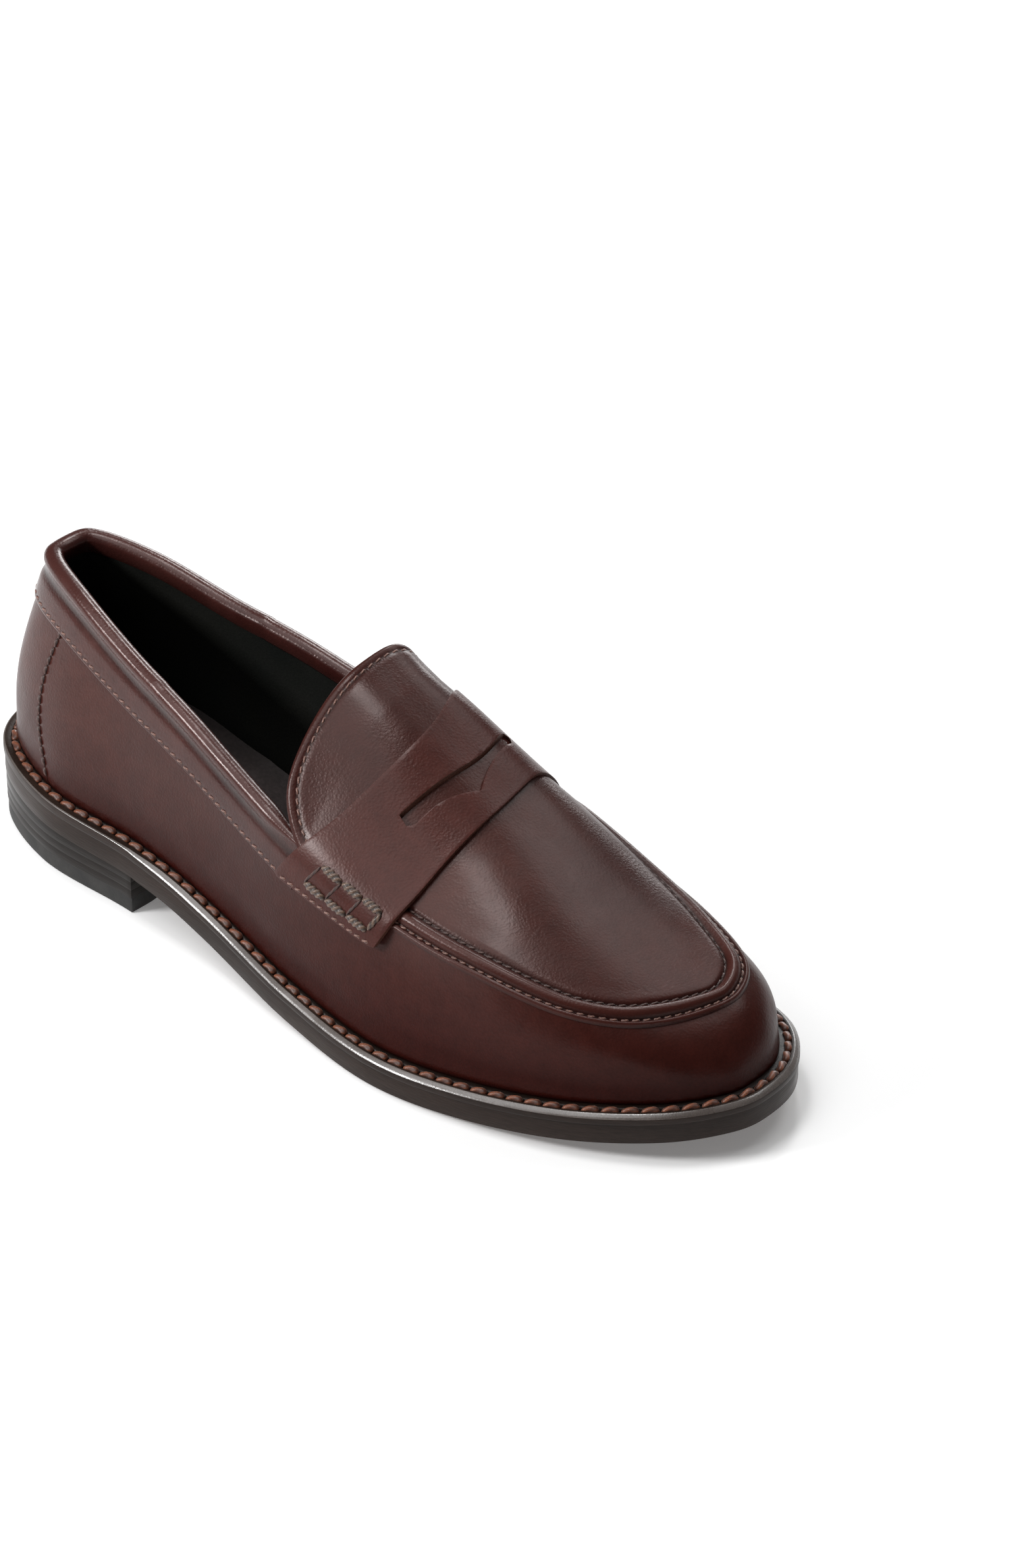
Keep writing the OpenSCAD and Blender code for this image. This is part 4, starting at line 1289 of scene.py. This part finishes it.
# %% Plug piece
LANES = len(plug_lanes[0]) - 1
mesh = blank(AROUND, LANES)
spots, high, dark, wear_highlight_marks = [], [], [], []
for v in mesh.verts:
    around, inward = round((v.co.x + 0.5) * AROUND) % AROUND, LANES - round((v.co.y + 0.5) * LANES)
    point = plug_lanes[around][inward]
    soft = tongue_share(point.x)
    lane = min(inward, len(SEAM_AT) - 1)
    under_strap = ease((LOW_RIDGE_FROM - point.x) / 10)
    raised = SEAM_HIGH[lane] if SEAM_HIGH[lane] < 0.6 else mix(SEAM_HIGH[lane], 0.6, 0.6 * under_strap)
    spots.append((around, inward))
    high.append(mix(raised, TONGUE_HIGH[lane], soft))
    # Painted shade in the seam's grooves and beside the tongue's stitch row; wear and painted highlight on
    # the lip, the ridge and the tongue's rounded edge.
    dark.append(mix(GROOVE_SHADE[lane], 0.7 if 8 <= inward <= 10 else 0, soft))
    wear_highlight_marks.append(mix(LIP_WEAR_AND_HIGHLIGHT[lane], 0.4 if 1 <= inward <= 4 else 0, soft))
    v.co = to_frame(point)
mark(mesh, "groove", dark)
mark(mesh, "wear_and_highlight", wear_highlight_marks)
mesh.normal_update()
if sum(v.normal.z for v in mesh.verts) < 0:
    bmesh.ops.reverse_faces(mesh, faces=mesh.faces[:])
    mesh.normal_update()
twins = {}
for spot, v in zip(spots, mesh.verts):
    twins[spot] = twins.get(spot, Vector()) + v.normal
plug_rows = {}
for spot, height, v in zip(spots, high, mesh.verts):
    out = twins[spot].normalized()
    v.co += out * height * MM
    plug_rows[spot] = (v.co.copy(), out)
weld(mesh, 0.00003)
make_piece(mesh, "apron_and_tongue", [upper_calf, cut_edge], ["apron"],
           thick=LEATHER_T, edge=0.3)

# %% [markdown]
# The rows of the plug follow its own lanes, so the thread always lies in its groove. The pale
# row and the dark row run from under the strap round the toe; the tongue's row goes round its
# rim.

# %% Apron and tongue stitching
APRON_ROWS_END, TONGUE_ROW_END = 180, 166
ROW_LIFT = 0.1


def lane_path(distance, part):
    """A path along one lane of the plug, over the apron or over the tongue."""
    lane = min(range(len(SEAM_AT)), key=lambda i: abs(SEAM_AT[i] - distance))
    start = AROUND // 2 if part == "apron" else 0
    path = []
    for around in range(start, start + AROUND):
        at, out = plug_rows[(around % AROUND, lane)]
        x = (at.x - cad_low.x) / MM
        wanted = x > APRON_ROWS_END if part == "apron" else x < TONGUE_ROW_END
        if wanted:
            path.append((at + out * ROW_LIFT * MM, out))
    return path


fine_row("apron_outer_thread", lane_path(2.05, "apron"), rose_thread, "upper_thread", "apron_outer_stitching")
fine_row("apron_inner_thread", lane_path(7.1, "apron"), dark_thread, "dark_thread", "apron_inner_stitching")
fine_row("tongue_thread", lane_path(2.9, "tongue"), rose_thread, "upper_thread", "tongue_stitching",
         width=0.8, fill=0.84)

# %% [markdown]
# ## Collar
#
# The collar is a strip of thinner calf. It is sewn on as a band outside the quarters, rolls
# over the topline as a soft bead, and ends inside on the lining. Its section is a closed loop
# of points measured from the wall: the band with its lower edge, the crease under the bead,
# the bead itself, and the inside. The blank is a tube that follows the topline from one end
# of the strap to the other, and it thins where it slips under the strap.

# %% Collar
COLLAR_H = 13
COLLAR_END, COLLAR_STEPS = 4.97, 220
BEAD_R, BEAD_SPREAD = 2.8, 0.25
# Lanes of painted shade: the band's lower edge, the stitch row and the crease under the bead.
SHADED_LANES = {0: 1, 1: 0.5, 4: 0.6, 11: 0.5, 12: 0.8}


def collar_section(station):
    """A closed section of the collar: band, crease, bead, inside and back under the band."""
    top = upper_edge(station)
    out = wall_out(station, 1)
    up = (wall(station, 1) - wall(station, 0.97)).normalized()
    slim = mix(0.45, 1, ease((COLLAR_END - abs(station)) / 0.4))
    height = wall_height(station)
    low = 1 - COLLAR_H / height

    def band(below, lift):
        share = 1 - below / height
        return wall(station, share) + wall_out(station, share) * lift

    centre = top - out * 1.5 + up * 0.1
    radius = BEAD_R * slim
    points = [band(13, 0.02), band(13.05, 0.45), band(12.8, 0.78), band(12.3, 0.92)]
    points += [band(11.6, 0.78), band(11, 0.92)]
    points += [band(below, 0.95) for below in (9.6, 8.2, 6.9)]
    points += [band(5.8, 0.86), band(5, 0.66), band(4.2, 0.42), band(3.4, 0.34)]
    for turn in range(-42, 160, 20):
        angle = math.radians(turn)
        aside, above = math.cos(angle) * (radius + BEAD_SPREAD), math.sin(angle) * radius
        points.append(centre + out * aside + up * above)
    for below, depth in ((1.9, 0.8), (2.6, 0.7), (3.2, 0.5), (3.25, 0.1)):
        share = 1 - below / height
        points.append(wall(station, share) - wall_out(station, share) * (SHELL_T + depth))
    share = 1 - 1.6 / height
    points.append(wall(station, share) - wall_out(station, share) * (SHELL_T + 0.05))
    points.append(top + (-out * SHELL_T + up * 0.1))
    points.append(top + (out * 0.02 + up * 0.1))
    points.append(band(6, 0.02))
    points.append(points[0].copy())
    return points


def collar_wear_and_highlight(lane):
    """Most on top of the bead, a little on the edges of the band: partly wear, partly painted highlight."""
    if 14 <= lane <= 20:
        return 1
    return 0.5 if lane in (2, 3, 8, 9) else 0


sections = []
for step in range(COLLAR_STEPS + 1):
    sections.append(collar_section(mix(-COLLAR_END, COLLAR_END, step / COLLAR_STEPS)))
TUBE = len(sections[0]) - 1
mesh = blank(COLLAR_STEPS, TUBE)
lane_of = [round((v.co.y + 0.5) * TUBE) for v in mesh.verts]
mark(mesh, "groove", [SHADED_LANES.get(lane, 0) for lane in lane_of])
mark(mesh, "wear_and_highlight", [collar_wear_and_highlight(lane) for lane in lane_of])
lay(mesh, lambda a, b: sections[round(a * COLLAR_STEPS)][round(b * TUBE)])
weld(mesh, 0.00001)
ends = [e for e in mesh.edges if e.is_boundary]
bmesh.ops.holes_fill(mesh, edges=ends, sides=0)
bmesh.ops.recalc_face_normals(mesh, faces=mesh.faces[:])
make_piece(mesh, "collar_roll", [collar_calf], ["topline_collar"], crease=65)


def below_top(below, lift, first, last, count=260):
    path = []
    for step in range(count + 1):
        station = mix(first, last, step / count)
        share = 1 - below / wall_height(station)
        out = wall_out(station, share)
        path.append((to_frame(wall(station, share) + out * lift), out))
    return path


fine_row("collar_thread", below_top(11.6, 0.9, -4.95, 4.95), rose_thread, "upper_thread", "collar_stitching")

# %% [markdown]
# ## Saddle strap
#
# The strap is cut from stiff calf. Its lower ends lie close on the wall, and it stands a
# little off the apron, whose seam passes under it. The coin slot is a long shallow cut at the
# back and two arcs that meet in a point at the front. The slot is cut with Boolean while the
# strap's edges are still sharp, and the cutter carries the cut-edge finish. Bevel then breaks
# every edge at once and gives it a thin pale line, partly raw fibre and partly painted highlight.

# %% Strap
STRAP_T = 1.5
CORNER_AT, CORNER_IN = 0.06, 0.018
PALE_EDGE, SLOT_LOW, SLOT_DEEP = 0.38, 30, 80


def strap_lift(over, fore):
    """How far the strap's underside stands off the surface below."""
    on_wall = ease((abs(over) - 0.8) / 0.2)
    over_collar = 1 - ease((fore - 0.04) / 0.24)
    stand_off = 0.9 * ease((fore - 0.3) / 0.7)
    return 0.65 + 1.4 * over_seam(over) - (0.35 - 0.45 * over_collar - stand_off) * on_wall


def strap_point(fore, over_share, raised):
    """A point of the strap, raised over its underside."""
    over = over_share * 2 - 1
    corner = max(0, 1 - min(fore, 1 - fore) / CORNER_AT) ** 2
    over *= 1 - CORNER_IN * corner
    return bent_strap(over, fore) + strap_out(over, fore) * (strap_lift(over, fore) + raised)


mesh = blank(26, 110)
lay(mesh, lambda fore, over: strap_point(fore, over, STRAP_T))
mesh.normal_update()
strap_piece = make_piece(mesh, "saddle_strap_calf", [strap_calf, cut_edge, fibre_and_highlight_edge],
                         ["saddle_strap"], thick=STRAP_T)

SLOT_REAR = [(169.8, -18.8), (171.6, -10), (172.8, 0), (173.2, 9), (172.2, 17), (169.8, 24)]
SLOT_END = [(169.8, 24), (171, 25.2), (173.6, 23.6)]
SLOT_INNER_ARC = [(173.6, 23.6), (175.6, 14.8), (178.4, 8), (181, 3.4)]
SLOT_OUTER_ARC = [(181, 3.4), (178.6, -2.4), (176.6, -8.6), (175.6, -14), (175, -17.6), (172.8, -19.9)]


def through(points, steps=5):
    """Points of a smooth curve through a few given ones."""
    spots = [Vector(p) for p in points]
    ends = [2 * spots[0] - spots[1]] + spots + [2 * spots[-1] - spots[-2]]
    curve = []
    for i in range(1, len(ends) - 2):
        curve += [spline(*ends[i - 1 : i + 3], step / steps) for step in range(steps)]
    return curve


slot_line = through(SLOT_REAR) + through(SLOT_END) + through(SLOT_INNER_ARC) + through(SLOT_OUTER_ARC)
mesh = bmesh.new()
bottom = mesh.faces.new([mesh.verts.new(to_frame((p.x, p.y, SLOT_LOW))) for p in slot_line])
raised = bmesh.ops.extrude_face_region(mesh, geom=[bottom])["geom"]
top = [g for g in raised if isinstance(g, bmesh.types.BMVert)]
bmesh.ops.translate(mesh, verts=top, vec=(0, 0, SLOT_DEEP * MM))
bmesh.ops.recalc_face_normals(mesh, faces=mesh.faces[:])
for face in mesh.faces:
    face.material_index = 1
slot_cutter = cutter("slot_cutter", mesh, [strap_calf, cut_edge])
cut_with(strap_piece, slot_cutter)
rounding = strap_piece.modifiers.new("edge", "BEVEL")
# The bevel's faces take the pale edge finish: partly raw fibre, partly painted highlight.
rounding.width, rounding.segments, rounding.material = PALE_EDGE * MM, 2, 2
rounding.limit_method, rounding.angle_limit = "ANGLE", math.radians(50)
apply_tools(strap_piece)
strap_piece.data.set_sharp_from_angle(angle=math.radians(50))
bpy.data.objects.remove(slot_cutter)
print("strap with its slot:", len(strap_piece.data.polygons), "faces")

# %% [markdown]
# Two things hold the strap's ends. A row of pale stitches runs along each lower edge, and a
# ladder of thick lacing above it makes three small boxes. The long sides of the ladder are
# plump twisted cords, one for each box, and thin dark thread crosses between them.

# %% Strap stitching and lacing
LACE_ROWS = (0.74, 0.89)
LACE_FROM, LACE_TO, LACE_BOXES = 0.25, 0.88, 3
LACE_LIFT, CORD_WIDTH, LAST_WIDTH, CROSS_WIDTH = 0.35, 2.3, 1.7, 1.0
LOW_ROW = 0.975


def strap_spot(over, fore, lift):
    point = strap_point(fore, (over + 1) / 2, STRAP_T + lift)
    return to_frame(point), strap_out(over, fore)


def strap_path(stops, lift, steps):
    """A path over the strap through a few (over, fore) stops."""
    path = []
    for (over_a, fore_a), (over_b, fore_b) in zip(stops, stops[1:]):
        for share in (step / steps for step in range(steps)):
            path.append(strap_spot(mix(over_a, over_b, share), mix(fore_a, fore_b, share), lift))
    return path + [strap_spot(*stops[-1], lift)]


def lace(mesh, a, b, width, finish, **shape):
    """One length of lacing between two (over, fore) spots of the strap."""
    made_before = set(mesh.faces)
    start, up = strap_spot(*a, LACE_LIFT)
    end, up_end = strap_spot(*b, LACE_LIFT)
    stitch(mesh, start, end, (up + up_end).normalized(), width * MM, **shape)
    for face in mesh.faces:
        if face not in made_before:
            face.material_index = finish


def ladder(side):
    """Twisted cords along both rows, and dark thread across; the last cross is a cord too."""
    mesh = bmesh.new()
    box = (LACE_TO - LACE_FROM) / LACE_BOXES
    upper, lower = side * LACE_ROWS[0], side * LACE_ROWS[1]
    tilt = side * 0.003
    for fore in (LACE_FROM + step * box for step in range(LACE_BOXES)):
        for row, shift in ((upper, 0.0), (lower, -0.01)):
            lace(mesh, (row - tilt, fore + shift), (row + tilt, fore + box + shift), CORD_WIDTH, 0,
                 sides=12, rings=18, turns=2.2, flat=0.8, sink=0.1, bulge=0.2)
    for step in range(LACE_BOXES + 1):
        fore, last = LACE_FROM + step * box, step == LACE_BOXES
        width, finish = (LAST_WIDTH, 0) if last else (CROSS_WIDTH, 1)
        lace(mesh, (upper + side * 0.004, fore), (lower - side * 0.004, fore - 0.01), width, finish,
             sides=8, rings=12, turns=1.5, flat=0.7, sink=0.1, bulge=0.15)
    weld(mesh, 0.000004)
    bmesh.ops.recalc_face_normals(mesh, faces=mesh.faces[:])
    return mesh


for side, name in ((-1, "lateral"), (1, "medial")):
    path = strap_path([(side * LOW_ROW, 0.05), (side * LOW_ROW, 0.95)], 0.08, 30)
    fine_row(f"strap_thread_{name}", path, rose_thread, "upper_thread", f"strap_stitching_{name}", width=0.95)
    make_piece(ladder(side), f"strap_lace_{name}", [lacing_thread, dark_thread],
               [f"strap_lacing_{name}"], crease=80)

# %% [markdown]
# ## Linings and stiffeners
#
# The foot never touches the outer leather: vamp, quarters, apron and tongue are lined with
# thin dark calf. Between leather and lining sit the heel stiffener and the toe puff, which
# keep the ends of the shoe in shape. All are sheets parallel to the surface above them, so a
# blank is laid on the last and sunk along its own direction before it gets its thickness.

# %% Linings and stiffeners
def sink(mesh, depth):
    """Moves a sheet inward along its own direction."""
    mesh.normal_update()
    inward = {v: -v.normal * depth * MM for v in mesh.verts}
    for v, step in inward.items():
        v.co += step


def wall_sheet(name, lanes, first, last, low, high, depth, thick, finish, slot, nodes):
    """A sheet inside the wall, from one station to another and between two height shares."""
    mesh = blank(*lanes)
    lay(mesh, lambda a, b: wall(mix(first, last, a), mix(low, high, b)))
    sink(mesh, depth)
    make_piece(mesh, name, [finish], nodes, thick=thick, edge=0.2)


LINING = (LINING_DEPTH, LINING_T, lining_calf, "lining")
BOARD = (LEATHER_T + 0.05, STIFFENER_T - 0.1, stiff_board, "stiffener_board")
wall_sheet("vamp_lining_calf", (200, 18), STRAP_REAR + 0.02, APRON_REAR - 0.02, 0.03, 0.97,
           *LINING, ["vamp_lining"])
wall_sheet("quarter_lining_calf", (160, 24), -STRAP_REAR, STRAP_REAR, 0.03, 0.985,
           *LINING, ["quarter_lining"])
wall_sheet("heel_stiffener_board", (90, 14), -3, 3, 0.04, 0.8, *BOARD, ["heel_stiffener"])
wall_sheet("toe_puff_board", (90, 10), 8.8, 13.6, 0.05, 0.93, *BOARD, ["toe_puff"])

mesh = blank(60, 30)
lay(mesh, lambda a, b: apron(mix(0.98, 0.05, a), mix(-0.93, 0.93, b)))
sink(mesh, 2.6)
make_piece(mesh, "apron_lining_calf", [lining_calf], ["apron_lining"], thick=LINING_T, edge=0.2)
mesh = blank(40, 40)
lay(mesh, lambda a, b: tongue(mix(0.97, 0, a), mix(-0.93, 0.93, b) * (1 - 0.1 * ease((0.45 - a) / 0.45))))
sink(mesh, LEATHER_T - 0.35)
make_piece(mesh, "tongue_lining_calf", [lining_calf], ["tongue_lining"], thick=0.85, edge=0.3)

# %% [markdown]
# ## Floor, light and camera
#
# The shoe stands on a plain white floor, which glows a little so that it stays white. Six soft
# lamps stand round it. The key lamp on the left lights the welt's trimmed corner and the
# walls, and a wide one above it in front fills the shadows. A lamp overhead gives the apron
# its broad highlight, and a small one behind on the left draws the line along the collar's
# bead. Two weaker panels behind and on the right light the toe and the inner side. The sky is
# brighter near the horizon than above, as in a studio with white walls.

# %% Floor and light
floor_mesh = bmesh.new()
bmesh.ops.create_grid(floor_mesh, x_segments=2, y_segments=2, size=30)
floor_skin = bpy.data.meshes.new("studio_floor")
floor_mesh.to_mesh(floor_skin)
floor_mesh.free()
floor = bpy.data.objects.new("studio_floor", floor_skin)
bpy.context.scene.collection.objects.link(floor)
floor.location.z = -0.0002
floor_white, tree, shader = start_finish("floor_white", 0.9)
shader.inputs["Base Color"].default_value = (0.93, 0.93, 0.93, 1)
shader.inputs["Emission Color"].default_value = (1, 1, 1, 1)
shader.inputs["Emission Strength"].default_value = 0.16
shader.inputs["Specular IOR Level"].default_value = 0.0
floor_skin.materials.append(floor_white)
floor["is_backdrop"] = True


def toward(azimuth, elevation):
    """The direction from the shoe: azimuth from the outer side toward the toe, in degrees."""
    a, e = math.radians(azimuth), math.radians(elevation)
    return Vector((math.sin(a) * math.cos(e), -math.cos(a) * math.cos(e), math.sin(e)))


def lamp(name, azimuth, elevation, away, size, power):
    """A soft lamp that looks at the shoe from a direction."""
    light = bpy.data.lights.new(name, "AREA")
    light.shape, light.size, light.size_y, light.energy = "RECTANGLE", size[0], size[1], power
    made = bpy.data.objects.new(name, light)
    back = toward(azimuth, elevation)
    made.location = Vector((0, 0, 0.04)) + back * away
    made.rotation_mode = "QUATERNION"
    made.rotation_quaternion = (-back).to_track_quat("-Z", "Y")
    made.visible_camera = False
    bpy.context.scene.collection.objects.link(made)


lamp("key_left", -36, 30, 1.6, (0.42, 0.26), 17)
lamp("soft_front", -28, 62, 1.8, (1.3, 0.9), 9)
lamp("overhead", -80, 80, 1.7, (0.42, 0.42), 8.5)
lamp("rear_left", -146, 50, 1.7, (0.22, 0.16), 5.5)
lamp("back_high", 172, 54, 1.8, (0.9, 0.5), 5)
lamp("rear_right", 210, 15, 1.6, (0.8, 0.4), 9)

sky = bpy.data.worlds.new("studio_sky")
bpy.context.scene.world = sky
sky.use_nodes = True
tree = sky.node_tree
up_share = add(tree, "SeparateXYZ", {"Vector": add(tree, "TexCoord").outputs["Generated"]}).outputs["Z"]
glow = span(tree, up_share, 0.0, 0.3, 0.29, 0.1)
tree.links.new(glow, tree.nodes["Background"].inputs["Strength"])
tree.nodes["Background"].inputs["Color"].default_value = (1, 1, 1, 1)
bpy.context.scene.view_settings.view_transform = "Standard"

# %% [markdown]
# The camera looks down on the shoe from in front of its outer side with a long lens, so the
# sides stay nearly parallel.

# %% Camera
CAMERA_AZIMUTH, CAMERA_ELEVATION, CAMERA_AWAY, CAMERA_LENS = 44.2, 33.2, 3.6, 284.9
CAMERA_AIM, SHIFT_RIGHT, SHIFT_UP = Vector((0, 0.0002, 0.030)), 0.0367, 0.0245
back = toward(CAMERA_AZIMUTH, CAMERA_ELEVATION)
right = Vector((0, 0, 1)).cross(back).normalized()
camera = bpy.data.objects.new("camera", bpy.data.cameras.new("camera"))
bpy.context.scene.collection.objects.link(camera)
camera.data.sensor_width = 36
camera.data.lens = CAMERA_LENS
camera.location = CAMERA_AIM + back * CAMERA_AWAY + right * SHIFT_RIGHT + back.cross(right) * SHIFT_UP
camera.rotation_mode = "QUATERNION"
camera.rotation_quaternion = (-back).to_track_quat("-Z", "Y")
camera.data.clip_start, camera.data.clip_end = 0.05, 200
bpy.context.scene.camera = camera
print("camera at", [round(c, 3) for c in camera.location])

# %% [markdown]
# ## Measure
#
# Both boxes are printed, the measured model's at the start and the finished shoe's here.

# %% Size
low, high_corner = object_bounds()
print("finished shoe:", [round(1000 * s, 1) for s in high_corner - low], "mm")
